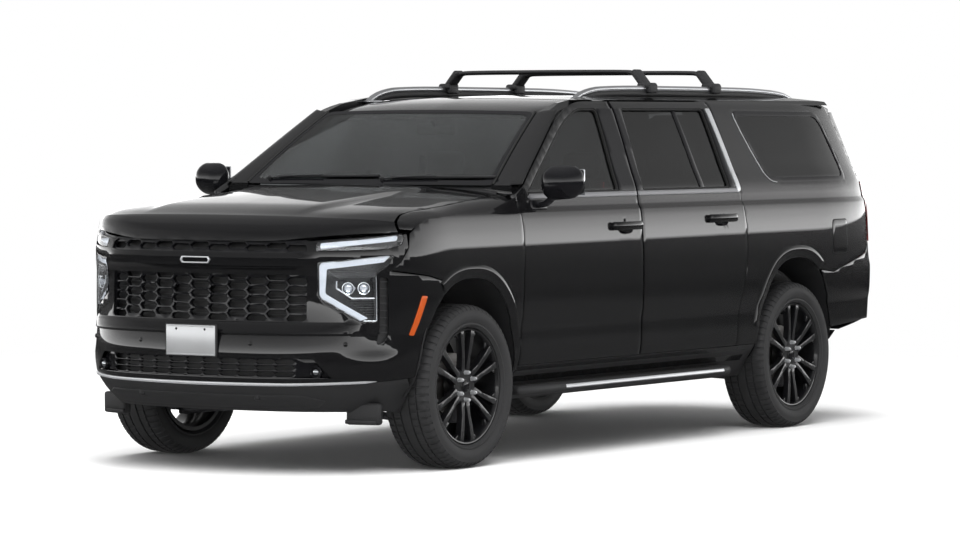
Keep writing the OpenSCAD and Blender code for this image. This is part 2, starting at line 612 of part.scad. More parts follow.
// ---- moving panels --------------------------------------------------------------------------------
module door_slab(p) intersection() {
  union() {
    side_wall(0, door_thickness, sill_height + 80, belt_height - 10,
      door_front - 100, door_rear + 200);
    side_wall(0, frame_thickness, belt_height - 10.5, roof_edge + 40,
      door_front - 100, door_rear + 200);
  }
  door_cut(p, 0, 400);
}
module front_door() color("#0c0c0d") difference() {
  door_slab(front_door_outline);
  side_prism(front_window_outline, 400, half_width + 10);
}
module rear_door() color("#0c0c0d") difference() {
  door_slab(rear_door_outline);
  side_prism(side_window_outline, 400, half_width + 10);
  side_prism(inset(arch(rear_axle_y, rear_arch_half, arch_top), -72 - panel_gap), 400, half_width + 10);
}
module pane(p) color("#181a1c", 0.6) intersection() {
  side_wall(14, 14 + glass_thickness, belt_height - 20, roof_edge + 30, front_face, rear_face);
  side_prism(inset(p, seat_fit), 400, half_width);
}
module quarter_windows() color("#181a1c", 0.6) both() intersection() {
  difference() { cabin_form(10); cabin_form(10 + glass_thickness); }
  side_prism(quarter_window_outline, 500, half_width);
}
mirror_out = 190;
module mirror_head() color("#0c0c0d") {
  arm_y = door_front + 190;
  z = belt_height - 60;
  side_skin = side_x(z);
  union() {
    box([side_skin - 4, arm_y - 45, z - 20], [skin_x + 60, arm_y + 45, z + 20]);
    intersection() {
      plan_prism([[skin_x + 20, arm_y - 75], [skin_x + 150, arm_y - 70], [skin_x + mirror_out, arm_y + 30],
        [skin_x + mirror_out, arm_y + 80], [skin_x + 20, arm_y + 45]], z - 40, z + 190);
      section_prism([[skin_x + 20, z], [skin_x + 60, z - 20], [skin_x + 160, z + 30], [skin_x + mirror_out, z + 100],
        [skin_x + 175, z + 160], [skin_x + 60, z + 172], [skin_x + 20, z + 150]], arm_y - 100, arm_y + 100);
    }
  }
}
module mirror_at_door() difference() { mirror_head(); door_slab_grown(); }
module door_slab_grown() side_wall(-seat_fit, door_thickness, sill_height + 80, belt_height + 40,
  door_front, door_split);

module liftgate() color("#0c0c0d") difference() {
  intersection() {
    difference() { cabin_form(0); cabin_form(liftgate_depth); }
    side_prism([[gate_hinge_y, roof_height + 20], [gate_hinge_y, roof_edge - 20], [gate_hinge_y + 60, roof_edge - 80],
      [rear_face - 500, gate_foot], [rear_face + 10, gate_foot], [rear_face + 10, roof_height + 20]],
      -gate_half, gate_half);
  }
  rear_window_prism();
  // screws of the rear plate
  for (s = [-1, 1]) translate([s * plate_screw_pitch / 2, rear_face - 300, 1130]) rotate([-90, 0, 0])
    cylinder(d = plate_screw, h = 300);
}
module rear_window_prism() section_prism([[-gate_half + 70, belt_height + 20],
  [gate_half - 70, belt_height + 20], [gate_half - 130, roof_edge - 45], [-gate_half + 130, roof_edge - 45]],
  rear_face - 500, rear_face + 10);
module rear_window() color("#181a1c", 0.6) intersection() {
  difference() { cabin_form(10); cabin_form(10 + glass_thickness); }
  rear_window_prism();
  box([-gate_half, gate_hinge_y + 100, belt_height], [gate_half, rear_face, roof_height]);
}

// ---- outside fittings -----------------------------------------------------------------------------
board_len = door_rear - door_front - 140;
module running_boards() color("#141416") both() union() {
  board_y = door_front - 10;
  box([side_x(sill_height) - 60, board_y, sill_height - 72], [half_width, board_y + board_len, sill_height - 14]);
  // brackets that hang from the frame's outriggers
  for (y = [door_front + 420, door_rear - 420]) {
    box([rail_x + 200, y - 35, sill_height - 65], [rail_x + 260, y + 35, rail_z - 25 - seat_fit]);
    box([rail_x + 200, y - 35, sill_height - 65], [side_x(sill_height) - 40, y + 35, sill_height - 25]);
  }
}
rail_line = skin_x - 345;
rail_top = roof_height + 32;
bar_top = rail_top + 110;
module roof_rails() color("#c0c2c4") both() difference() {
  side_prism([[header_y + 420, roof_height - 16], [header_y + 520, rail_top],
    [rear_face - 900, rail_top], [rear_face - 770, roof_height - 10], [rear_face - 830, roof_height - 30],
    [header_y + 520, roof_height - 30]], rail_line - 16, rail_line + 16);
  cabin_form(-seat_fit);
}
module cross_bars() color("#101012") for (y = [door_split + 615, door_split + 1325]) {
  both() {
    box([rail_line - 40, y - 50, rail_top + seat_fit], [rail_line + 30, y + 50, rail_top + 38]);
    bar([rail_line - 10, y, rail_top + 26], [rail_line - 120, y, bar_top - 24], 22);
  }
  translate([-rail_line + 118, y, bar_top - 24]) rotate([0, 90, 0]) cylinder(r = 24, h = 2 * rail_line - 236);
}

// ---- cabin ----------------------------------------------------------------------------------------
module dashboard() color("#151517") {
  inner = side_x(sill_height) - cabin_wall - 8;
  side_prism([[cowl_y + 20, belt_height - 60], [cowl_y + 20, belt_height - 5], [cowl_y + 200, belt_height + 4],
    [cowl_y + 420, belt_height - 40], [cowl_y + 440, belt_height - 250], [cowl_y + 300, belt_height - 420],
    [cowl_y + 120, belt_height - 420]], -inner, inner);
  // centre console
  box([-150, cowl_y + 200, floor_z + 50 + seat_fit], [150, cowl_y + 1000, floor_z + 340]);
  box([-150, cowl_y + 200, floor_z + 300], [150, cowl_y + 400, belt_height - 380]);
}
module steering_wheel() color("#151517") {
  translate([skin_x - 640, cowl_y + 560, belt_height - 160]) rotate([-65, 0, 0]) {
    rotate_extrude() translate([175, 0]) circle(r = 14);
    cylinder(r = 60, h = 30);
    for (a = [0, 120, 240]) rotate([0, 0, a + 30]) box([50, -14, 2], [172, 14, 16]);
  }
  bar([skin_x - 640, cowl_y + 562, belt_height - 160], [skin_x - 640, cowl_y + 448, belt_height - 213], 32);
}
seat_t = 130;
module seat(x, y, w, h) translate([x, y, floor_z + 50 + seat_fit]) union() {
  box([-w / 2 + 40, 60, 0], [w / 2 - 40, 420, 190]);
  intersection() {
    side_prism([[-20, 180], [520, 180], [520, 300], [40, 330], [-20, 290]], -w / 2, w / 2);
    box([-w / 2, -60, 0], [w / 2, 520, 400]);
  }
  side_prism([[430, 200], [560, 200], [720, 180 + h], [600, 200 + h]], -w / 2, w / 2);
}
module headrest(x, y, h) translate([x, y, floor_z + 50 + seat_fit]) {
  side_prism([[632, 235 + h], [740, 225 + h], [765, 400 + h], [675, 410 + h]], -130, 130);
  for (s = [-1, 1]) bar([s * 60, 665, 160 + h], [s * 60, 695, 250 + h], 7);
}
module front_seats() color("#1b1b1e") both() {
  seat(450, cowl_y + 720, 540, 560);
  headrest(450, cowl_y + 720, 560);
}
module second_row_seats() color("#1b1b1e") both() {
  seat(450, cowl_y + 1620, 520, 540);
  headrest(450, cowl_y + 1620, 540);
}
module third_row_seat() color("#1b1b1e") {
  seat(0, rear_axle_y - 560, 1180, 520);
  both() headrest(400, rear_axle_y - 560, 520);
}

// ---- wheels ---------------------------------------------------------------------------------------
// Rim with its spokes, hub and brake disc about the X axis, its outer face towards +X.
module rim() color("#111113") rotate([0, 90, 0]) difference() {
  union() {
    rotate_extrude() polygon([[rim_radius - 22, -tyre_width / 2 + 15], [rim_radius, -tyre_width / 2 + 15],
      [rim_radius, -tyre_width / 2 + 27], [rim_radius - 14, -tyre_width / 2 + 32],
      [rim_radius - 14, tyre_width / 2 - 42], [rim_radius, tyre_width / 2 - 37],
      [rim_radius, tyre_width / 2 - 25], [rim_radius - 22, tyre_width / 2 - 25]]);
    for (i = [0:5]) rotate([0, 0, i * 60]) for (s = [-1, 1])
      translate([60, s * 32 - 14, 62]) cube([rim_radius - 80, 28, 40]);
    translate([0, 0, -18]) cylinder(r = 96, h = 120);
    translate([0, 0, -8]) cylinder(r = 165, h = 28);
  }
  translate([0, 0, -200]) cylinder(r = stub_radius + running_fit, h = 275);
  for (i = [0:nut_count - 1]) rotate([0, 0, i * 360 / nut_count]) translate([69.85, 0, 92])
    cylinder(r = 9, h = 40);
}
module tyre() color("#26262a") rotate([0, 90, 0]) rotate_extrude() polygon([
  [rim_radius + seat_fit, -tyre_width / 2 + 16], [rim_radius + sidewall / 3, -tyre_width / 2 + 2],
  [rim_radius + sidewall * 5 / 12, -tyre_width / 2], [tyre_radius - sidewall * 0.15, -tyre_width / 2 + 16],
  [tyre_radius, -tyre_width / 2 + 42], [tyre_radius, tyre_width / 2 - 42],
  [tyre_radius - sidewall * 0.15, tyre_width / 2 - 16], [rim_radius + sidewall * 5 / 12, tyre_width / 2],
  [rim_radius + sidewall / 3, tyre_width / 2 - 2], [rim_radius + seat_fit, tyre_width / 2 - 26]]);
module at_wheel(left, y) side(left) translate([wheel_x, y, tyre_radius]) children();

frame_rails();
cross_members();
tow_hitch();
floor_pan();
side_frames();
quarter_panels();
roof_panel();
front_fenders();
front_bumper();
grille();
headlamps();
rear_bumper();
tail_lamps();
windshield();
quarter_windows();
running_boards();
roof_rails();
cross_bars();
engine_block();
front_suspension();
rear_axle();
exhaust();
dashboard();
steering_wheel();
front_seats();
second_row_seats();
third_row_seat();
hood();
liftgate();
rear_window();
side(true) front_door();  // front_door_left
side(false) front_door();  // front_door_right
side(true) rear_door();  // rear_door_left
side(false) rear_door();  // rear_door_right
side(true) pane(front_window_outline);  // front_window_left
side(false) pane(front_window_outline);  // front_window_right
side(true) pane(side_window_outline);  // side_window_left
side(false) pane(side_window_outline);  // side_window_right
side(true) mirror_at_door();  // mirror_left
side(false) mirror_at_door();  // mirror_right
side(true) knuckle();  // knuckle_left
side(false) knuckle();  // knuckle_right
at_wheel(true, front_axle) rim();  // front_rim_left
at_wheel(false, front_axle) rim();  // front_rim_right
at_wheel(true, rear_axle_y) rim();  // rear_rim_left
at_wheel(false, rear_axle_y) rim();  // rear_rim_right
at_wheel(true, front_axle) tyre();  // front_tyre_left
at_wheel(false, front_axle) tyre();  // front_tyre_right
at_wheel(true, rear_axle_y) tyre();  // rear_tyre_left
at_wheel(false, rear_axle_y) tyre();  // rear_tyre_right
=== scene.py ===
"""Looks of a long family SUV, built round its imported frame. Metres; front -Y, left +X, up +Z."""
import json
import math

import bmesh
import bpy
import numpy as np
from mathutils import Matrix, Vector


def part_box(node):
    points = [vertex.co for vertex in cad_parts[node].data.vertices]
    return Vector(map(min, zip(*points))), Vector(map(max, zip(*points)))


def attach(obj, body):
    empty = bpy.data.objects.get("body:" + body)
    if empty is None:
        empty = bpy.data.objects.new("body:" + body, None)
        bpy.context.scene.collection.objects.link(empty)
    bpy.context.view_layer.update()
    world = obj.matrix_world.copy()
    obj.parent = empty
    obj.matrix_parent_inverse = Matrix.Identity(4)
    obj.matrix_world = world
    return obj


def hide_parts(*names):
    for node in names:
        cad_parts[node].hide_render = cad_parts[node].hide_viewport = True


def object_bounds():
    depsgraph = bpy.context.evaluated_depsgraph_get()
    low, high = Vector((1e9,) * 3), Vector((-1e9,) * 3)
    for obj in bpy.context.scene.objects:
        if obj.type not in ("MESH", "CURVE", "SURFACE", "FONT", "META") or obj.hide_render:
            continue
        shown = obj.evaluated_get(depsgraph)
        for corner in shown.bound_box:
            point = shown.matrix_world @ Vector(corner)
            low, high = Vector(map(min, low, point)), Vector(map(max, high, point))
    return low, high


bl_info = {
    "name": "Family SUV",
    "version": (1, 0, 0),
    "blender": (4, 5, 0),
    "location": "View3D > Sidebar > Family SUV",
    "description": "Body panels, lamps, wheels, glass and cabin of a long family SUV",
    "category": "Object",
}

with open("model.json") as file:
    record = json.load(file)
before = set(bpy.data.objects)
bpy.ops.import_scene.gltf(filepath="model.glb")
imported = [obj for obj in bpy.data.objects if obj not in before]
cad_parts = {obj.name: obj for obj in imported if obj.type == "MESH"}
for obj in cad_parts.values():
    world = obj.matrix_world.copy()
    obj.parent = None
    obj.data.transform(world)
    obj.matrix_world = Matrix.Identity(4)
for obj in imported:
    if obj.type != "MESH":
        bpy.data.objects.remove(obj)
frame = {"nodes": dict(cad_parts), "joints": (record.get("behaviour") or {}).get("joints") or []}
CAD_BOX = [list(corner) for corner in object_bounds()]

# ---- sizes taken from the frame ----------------------------------------------------------------
JOINT = {joint["name"]: joint for joint in frame["joints"]}
SKIN_X, DOOR_FRONT = JOINT["front_door_left_hinge"]["pos_m"][:2]
REAR_DOOR_Y = JOINT["rear_door_left_hinge"]["pos_m"][1]
HOOD_REAR, COWL_Z = JOINT["hood_hinge"]["pos_m"][1:]
ROOF_Z = JOINT["liftgate_hinge"]["pos_m"][2]
WHEEL_X, FRONT_AXLE, TYRE_R = JOINT["front_wheel_left_spin"]["pos_m"]
REAR_AXLE = JOINT["rear_wheel_left_spin"]["pos_m"][1]
FRONT, REAR = CAD_BOX[0][1], CAD_BOX[1][1]
DOOR_SPLIT = REAR_DOOR_Y - 0.007
DOOR_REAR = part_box("rear_door_left")[1].y
BELT = 1.38
SILL = 0.41
ROOF_EDGE = ROOF_Z - 0.068
HEADER_Y, HEADER_Z = -0.7176, ROOF_Z - 0.094
GAP = 0.0035                     # half the gap between two panels
ARCH_FRONT, ARCH_REAR, ARCH_TOP = 0.438, 0.441, 0.970
SIDES = {"left": 1, "right": -1}


# ---- curves and surfaces of the body -----------------------------------------------------------
def smooth(points):
    """A curve through the points that never overshoots them."""
    x, y = np.array(points, float).T
    run, rise = np.diff(x), np.diff(y)
    slope = rise / run
    tangent = np.zeros_like(x)
    tangent[0], tangent[-1] = slope[0], slope[-1]
    a, b = 2 * run[1:] + run[:-1], run[1:] + 2 * run[:-1]
    same = slope[:-1] * slope[1:] > 0
    safe = [np.where(same, s, 1.0) for s in (slope[:-1], slope[1:])]
    tangent[1:-1] = np.where(same, (a + b) / (a / safe[0] + b / safe[1]), 0.0)

    def value(t):
        t = np.clip(np.asarray(t, float), x[0], x[-1])
        i = np.clip(np.searchsorted(x, t, side="right") - 1, 0, len(run) - 1)
        u = (t - x[i]) / run[i]
        return (y[i] * (1 + 2 * u) * (1 - u) ** 2 + tangent[i] * run[i] * u * (1 - u) ** 2
                + y[i + 1] * u * u * (3 - 2 * u) + tangent[i + 1] * run[i] * u * u * (u - 1))
    return value


def ramp(t, start, end):
    """0 before start, 1 after end, smooth between."""
    u = np.clip((np.asarray(t, float) - start) / (end - start), 0, 1)
    return u * u * (3 - 2 * u)


# how far the skin lies inside its widest line, by height: at the sides, the nose and the tail
SIDE_INSET = smooth([(0.30, 0.150), (SILL, 0.085), (0.50, 0.030), (0.60, 0.017), (0.70, 0.016),
                     (0.755, 0.006), (0.90, 0.0), (1.02, 0.0), (1.16, 0.004), (1.275, 0.013),
                     (1.292, 0.017), (1.312, 0.030), (1.35, 0.036), (BELT, 0.041), (1.50, 0.089),
                     (1.62, 0.137), (1.75, 0.192), (ROOF_EDGE, 0.235), (ROOF_EDGE + 0.038, 0.270),
                     (ROOF_EDGE + 0.056, 0.320)])
NOSE_INSET = smooth([(0.30, 0.160), (0.40, 0.030), (0.46, 0.0), (0.62, 0.004), (0.70, 0.018), (0.76, 0.050),
                     (0.90, 0.062), (1.00, 0.064), (1.05, 0.050), (1.10, 0.048), (1.17, 0.072),
                     (1.24, 0.105), (1.29, 0.165), (1.32, 0.30)])
TAIL_INSET = smooth([(0.30, 0.070), (0.45, 0.050), (0.60, 0.022), (0.74, 0.0), (0.90, 0.006),
                     (0.955, 0.055), (1.02, 0.082), (1.20, 0.100), (1.30, 0.115), (1.42, 0.160),
                     (1.62, 0.225), (1.82, 0.295), (1.90, 0.330)])
PLAN = [(0.0, FRONT), (0.16, FRONT + 0.003), (0.30, FRONT + 0.016), (0.45, FRONT + 0.042),
        (0.60, FRONT + 0.090), (0.75, FRONT + 0.178), (0.86, FRONT + 0.290), (0.935, FRONT + 0.400),
        (0.985, FRONT + 0.520), (1.008, FRONT + 0.640), (SKIN_X, FRONT + 0.780), (SKIN_X, -0.6),
        (SKIN_X, 0.6), (SKIN_X, REAR - 0.95), (SKIN_X - 0.006, REAR - 0.74), (SKIN_X - 0.030, REAR - 0.50),
        (SKIN_X - 0.075, REAR - 0.30), (SKIN_X - 0.140, REAR - 0.160), (SKIN_X - 0.250, REAR - 0.072),
        (SKIN_X - 0.430, REAR - 0.022), (SKIN_X - 0.700, REAR - 0.004), (0.0, REAR)]


def plan_table():
    """The plan's half outline from the middle of the nose to the middle of the tail, evened out."""
    x, y = np.array(PLAN, float).T
    chord = np.concatenate([[0], np.cumsum(np.hypot(np.diff(x), np.diff(y)))])
    t = np.linspace(0, chord[-1], 2400)
    px, py = smooth(list(zip(chord, x)))(t), smooth(list(zip(chord, y)))(t)
    reach = 40
    kernel = np.hanning(2 * reach + 1)
    kernel /= kernel.sum()
    px = np.concatenate([-px[reach:0:-1], px, -px[-2:-reach - 2:-1]])
    py = np.concatenate([py[reach:0:-1], py, py[-2:-reach - 2:-1]])
    return np.convolve(px, kernel, "valid"), np.convolve(py, kernel, "valid")


def arc_table():
    """Length along the plan's half outline, with its points and outward directions."""
    px, py = plan_table()
    s = np.concatenate([[0], np.cumsum(np.hypot(np.diff(px), np.diff(py)))])
    nx, ny = np.gradient(py, s), -np.gradient(px, s)
    length = np.hypot(nx, ny)
    return s, px, py, nx / length, ny / length


ARC = arc_table()
ARC_END = ARC[0][-1]


def at_y(y):
    """Length along the plan outline at which its side passes y."""
    s, _, py = ARC[:3]
    order = np.argsort(py)
    return float(np.interp(y, py[order], s[order]))


def wrap(s, z, out=0.0):
    """The body's outer skin, from the nose round the left side to the tail, at height z."""
    s, z = np.asarray(s, float), np.asarray(z, float)
    px, py, nx, ny = [np.interp(s, ARC[0], column) for column in ARC[1:]]
    size = np.hypot(nx, ny)
    nx, ny = nx / size, ny / size
    end = np.where(ny < 0, NOSE_INSET(z), TAIL_INSET(z))
    inset = SIDE_INSET(z) * nx ** 2 + end * ny ** 2 - out
    return np.stack([px - nx * inset, py - ny * inset, z], axis=-1)


def side_x(z):
    """The left side's widest point at height z."""
    return SKIN_X - SIDE_INSET(z)


ROOF_LINE = smooth([(HEADER_Y - 0.02, HEADER_Z - 0.006), (HEADER_Y + 0.06, HEADER_Z + 0.018),
                    (HEADER_Y + 0.20, ROOF_Z - 0.045), (HEADER_Y + 0.42, ROOF_Z - 0.018),
                    (HEADER_Y + 0.80, ROOF_Z - 0.003), (REAR - 1.9, ROOF_Z - 0.001),
                    (REAR - 1.3, ROOF_Z - 0.004), (REAR - 0.86, ROOF_Z - 0.012),
                    (REAR - 0.5, ROOF_Z - 0.030), (REAR - 0.30, ROOF_Z - 0.052)])
ROOF_HALF = smooth([(0.0, 0.0), (0.30, 0.300), (0.56, 0.558), (0.68, 0.672), (0.745, 0.726), (0.785, 0.7555),
                    (0.83, 0.7800)])
ROOF_DROP = smooth([(0.0, 0.0), (0.30, 0.004), (0.56, 0.014), (0.68, 0.026), (0.745, 0.044), (0.785, 0.062),
                    (0.83, 0.090)])


def roof(t, y):
    """The roof's skin; t runs from the centre line out over the side rail."""
    t, y = np.asarray(t, float), np.asarray(y, float)
    edge = np.sign(t)
    t = np.abs(t)
    narrow = 1 - 0.035 * (1 - ramp(y, HEADER_Y - 0.1, HEADER_Y + 0.7))
    return np.stack([edge * ROOF_HALF(t) * narrow, y, ROOF_LINE(y) - ROOF_DROP(t)], axis=-1)


HOOD_CREST, HOOD_END = 1.29, 1.46   # along the hood: where it turns down, and its lip
HOOD_LINE = smooth([(0.0, COWL_Z - 0.004), (0.25, COWL_Z - 0.020), (0.60, COWL_Z - 0.048),
                    (0.95, COWL_Z - 0.082), (1.18, COWL_Z - 0.112), (HOOD_CREST, COWL_Z - 0.136)])
HOOD_DROP = smooth([(0.0, 0.0), (0.30, 0.004), (0.56, 0.014), (0.72, 0.027), (0.83, 0.040), (0.90, 0.056),
                    (0.95, 0.082), (0.985, 0.130), (0.998, 0.165)])


def hood_skin(x, t):
    """The hood and the tops of the fenders; t runs from the windshield's foot forwards, over the lip."""
    x, t = np.asarray(x, float), np.asarray(t, float)
    q = np.abs(x)
    s = np.interp(q, ARC[1][:1100], ARC[0][:1100])
    drop = HOOD_DROP(q)
    crest = HOOD_LINE(HOOD_CREST) - drop * 0.38
    lip = COWL_Z - 0.264 + 0.042 * ramp(q, 0.35, 0.96)
    run = np.minimum(t / HOOD_CREST, 1)
    down = np.clip((t - HOOD_CREST) / (HOOD_END - HOOD_CREST), 0, 1)
    front = wrap(s, crest + (lip - crest) * down)
    start = wrap(s, crest)[..., 1] + 0.012
    y = np.where(down > 0, front[..., 1] + 0.012 * (1 - ramp(down, 0, 0.4)), HOOD_REAR + (start - HOOD_REAR)
                 * run)
    edge = 0.455 + 0.09 * run
    plateau = 1 - ramp(q, edge - 0.045, edge + 0.03)
    top = HOOD_LINE(np.minimum(t, HOOD_CREST)) - drop * (1 - 0.62 * ramp(t, 0.5, HOOD_CREST))
    top = top + 0.013 * plateau * (1 - ramp(t, 1.05, HOOD_CREST)) * ramp(t, -0.1, 0.2)
    z = np.where(down > 0, crest + (lip - crest) * down, top)
    across = q + (front[..., 0] - q) * ramp(t, 0.85, HOOD_CREST)
    return np.stack([np.sign(x) * across, y, z], axis=-1)


# ---- mesh building -----------------------------------------------------------------------------
def clear_selection():
    """Leaves edit mode with nothing selected."""
    if bpy.context.mode != "OBJECT":
        bpy.ops.object.mode_set(mode="OBJECT")
    bpy.ops.object.select_all(action="DESELECT")


def active(piece):
    """Selects one piece alone."""
    clear_selection()
    piece.select_set(True)
    bpy.context.view_layer.objects.active = piece
    return piece


def new_piece(name, verts, faces, edges=()):
    """A mesh object from points, with faces or edges."""
    mesh = bpy.data.meshes.new(name)
    mesh.from_pydata([tuple(v) for v in verts], list(edges), faces)
    piece = bpy.data.objects.new(name, mesh)
    bpy.context.scene.collection.objects.link(piece)
    return piece


def settle(piece):
    """Moves a piece's place, turn and scale into its mesh."""
    active(piece)
    bpy.ops.object.transform_apply(location=True, rotation=True, scale=True)
    return piece


def modify(piece, kind, **values):
    """Adds a modifier with these values and applies it."""
    active(piece)
    modifier = piece.modifiers.new(kind.lower(), kind)
    for key, value in values.items():
        setattr(modifier, key, value)
    bpy.ops.object.modifier_apply(modifier=modifier.name)
    return piece


def outward(piece):
    """Merges doubled points and turns every face outwards."""
    active(piece)
    bpy.ops.object.mode_set(mode="EDIT")
    bpy.ops.mesh.select_all(action="SELECT")
    bpy.ops.mesh.remove_doubles(threshold=0.00005)
    bpy.ops.mesh.normals_make_consistent(inside=False)
    bpy.ops.object.mode_set(mode="OBJECT")
    return piece


def mirrored(piece, name):
    """A copy of the piece on the other side, with its own mesh."""
    twin = piece.copy()
    twin.data = piece.data.copy()
    twin.name = twin.data.name = name
    bpy.context.scene.collection.objects.link(twin)
    twin.data.transform(Matrix.Scale(-1, 4, (1, 0, 0)))
    twin.data.flip_normals()
    return twin


def finish_piece(piece, material, angle=32):
    """Smooth shading and a material."""
    active(piece)
    bpy.ops.object.shade_smooth_by_angle(angle=math.radians(angle))
    piece.data.materials.clear()
    piece.data.materials.append(material)
    return piece


def own(piece, look, body="chassis", replaces=(), angle=32):
    """Gives one piece its look, sets it to ride on a body and hides the frame's parts that it replaces."""
    finish_piece(piece, MAT[look], angle)
    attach(piece, body)
    if replaces:
        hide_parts(*replaces)
    return piece


def both_sides(left, look, body="chassis", replaces=None, angle=32):
    """Mirrors a left piece and sets both to ride on their body; SIDE in a name stands for left or right."""
    base = left.name
    left.name = left.data.name = base + "_left"
    for side, piece in (("left", left), ("right", mirrored(left, base + "_right"))):
        nodes = [replaces.replace("SIDE", side)] if replaces else ()
        own(piece, look, body.replace("SIDE", side), nodes, angle)


def join(pieces, name):
    """Several pieces as one."""
    clear_selection()
    for piece in pieces:
        piece.select_set(True)
    bpy.context.view_layer.objects.active = pieces[0]
    if len(pieces) > 1:
        bpy.ops.object.join()
    pieces[0].name = pieces[0].data.name = name
    return pieces[0]


def bent(points, count=24):
    """A smooth curve of count points through the given ones."""
    p = np.array(points, float)
    chord = np.concatenate([[0], np.cumsum(np.linalg.norm(np.diff(p, axis=0), axis=1))])
    t = np.linspace(0, chord[-1], count)
    return np.stack([smooth(list(zip(chord, p[:, k])))(t) for k in range(3)], axis=-1)


def tube(name, points, width, height=None, count=24, twist="Z_UP"):
    """A bar of oval section along a curve through the points."""
    clear_selection()
    bpy.ops.curve.primitive_bezier_circle_add(radius=0.5)
    section = bpy.context.object
    section.data.resolution_u = 4
    section.scale = (width, height or width, 1)
    settle(section)
    path = bent(points, count) if count else points
    curve = bpy.data.curves.new(name, "CURVE")
    curve.dimensions, curve.twist_mode = "3D", twist
    spline = curve.splines.new("POLY")
    spline.points.add(len(path) - 1)
    for point, place in zip(spline.points, path):
        point.co = (*place, 1)
    curve.bevel_mode, curve.bevel_object, curve.use_fill_caps = "OBJECT", section, True
    piece = bpy.data.objects.new(name, curve)
    bpy.context.scene.collection.objects.link(piece)
    active(piece)
    bpy.ops.object.convert(target="MESH")
    piece = bpy.context.object
    bpy.data.objects.remove(section)
    return outward(piece)


def block(size, place, round_off=0.01, turn=(0, 0, 0), segments=3, name="block"):
    """A box with rounded edges."""
    clear_selection()
    bpy.ops.mesh.primitive_cube_add(size=1, location=place, rotation=turn, scale=size)
    piece = settle(bpy.context.object)
    piece.name = piece.data.name = name
    if round_off:
        modify(piece, "BEVEL", width=round_off, segments=segments, limit_method="NONE")
    return piece


def lathe(name, profile, centre=(0, 0, 0), axis=(1, 0, 0), steps=48, angle=360.0, closed=True, start=0.0):
    """Spins a profile of (radius, along) about an axis; angle under 360 leaves a solid sector."""
    axis = Vector(axis).normalized()
    side = axis.orthogonal().normalized()
    side = Matrix.Rotation(math.radians(start), 3, axis) @ side
    verts = [Vector(centre) + side * r + axis * a for r, a in profile]
    count = len(verts)
    if angle > 359.9:
        edges = [(i, i + 1) for i in range(count - 1)] + ([(count - 1, 0)] if closed else [])
        piece = new_piece(name, verts, [], edges)
    else:
        piece = new_piece(name, verts, [tuple(range(count))])
    active(piece)
    bpy.ops.object.mode_set(mode="EDIT")
    bpy.ops.mesh.select_all(action="SELECT")
    bpy.ops.mesh.spin(steps=steps, angle=math.radians(angle), center=centre, axis=axis)
    bpy.ops.object.mode_set(mode="OBJECT")
    return outward(piece)


def prism(name, outline, x0, x1, round_off=0.012, segments=3):
    """A (y, z) outline extruded across the body, with rounded edges."""
    count = len(outline)
    piece = new_piece(name, [(x0, y, z) for y, z in outline], [tuple(range(count))])
    active(piece)
    bpy.ops.object.mode_set(mode="EDIT")
    bpy.ops.mesh.select_all(action="SELECT")
    bpy.ops.mesh.extrude_region_move(TRANSFORM_OT_translate={"value": (x1 - x0, 0, 0)})
    bpy.ops.object.mode_set(mode="OBJECT")
    outward(piece)
    if round_off:
        modify(piece, "BEVEL", width=round_off, segments=segments, limit_method="ANGLE",
               angle_limit=math.radians(25))
    return piece


def copies(piece, places, turns=None):
    """Copies of a piece, each with its own mesh, moved (and turned) to their places."""
    made = []
    for index, place in enumerate(places):
        twin = piece.copy()
        twin.data = piece.data.copy()
        bpy.context.scene.collection.objects.link(twin)
        turn = turns[index] if turns else Matrix.Identity(4)
        twin.data.transform(Matrix.Translation(place) @ turn)
        made.append(twin)
    bpy.data.objects.remove(piece)
    return made


def inside(points, outline):
    """Which of the points lie in the outline."""
    x, y = points[:, 0], points[:, 1]
    hit = np.zeros(len(points), bool)
    for (ax, ay), (bx, by) in zip(outline, outline[1:] + outline[:1]):
        crosses = (ay > y) != (by > y)
        with np.errstate(divide="ignore", invalid="ignore"):
            at = (bx - ax) * (y - ay) / (by - ay if by != ay else 1e-12) + ax
        hit ^= crosses & (x < at)
    return hit


def rounded(outline, radius, count=4):
    """The outline with each corner turned into a short curve."""
    result = []
    n = len(outline)
    radii = radius if hasattr(radius, "__len__") else [radius] * n
    for i in range(n):
        a, b, c = [np.array(outline[(i + k) % n], float) for k in (-1, 0, 1)]
        r = radii[i]
        if r <= 0:
            result.append(tuple(b))
            continue
        p = b + (a - b) * min(0.45, r / max(np.linalg.norm(a - b), 1e-9))
        q = b + (c - b) * min(0.45, r / max(np.linalg.norm(c - b), 1e-9))
        for t in np.linspace(0, 1, count + 1):
            result.append(tuple((1 - t) ** 2 * p + 2 * t * (1 - t) * b + t * t * q))
    return result


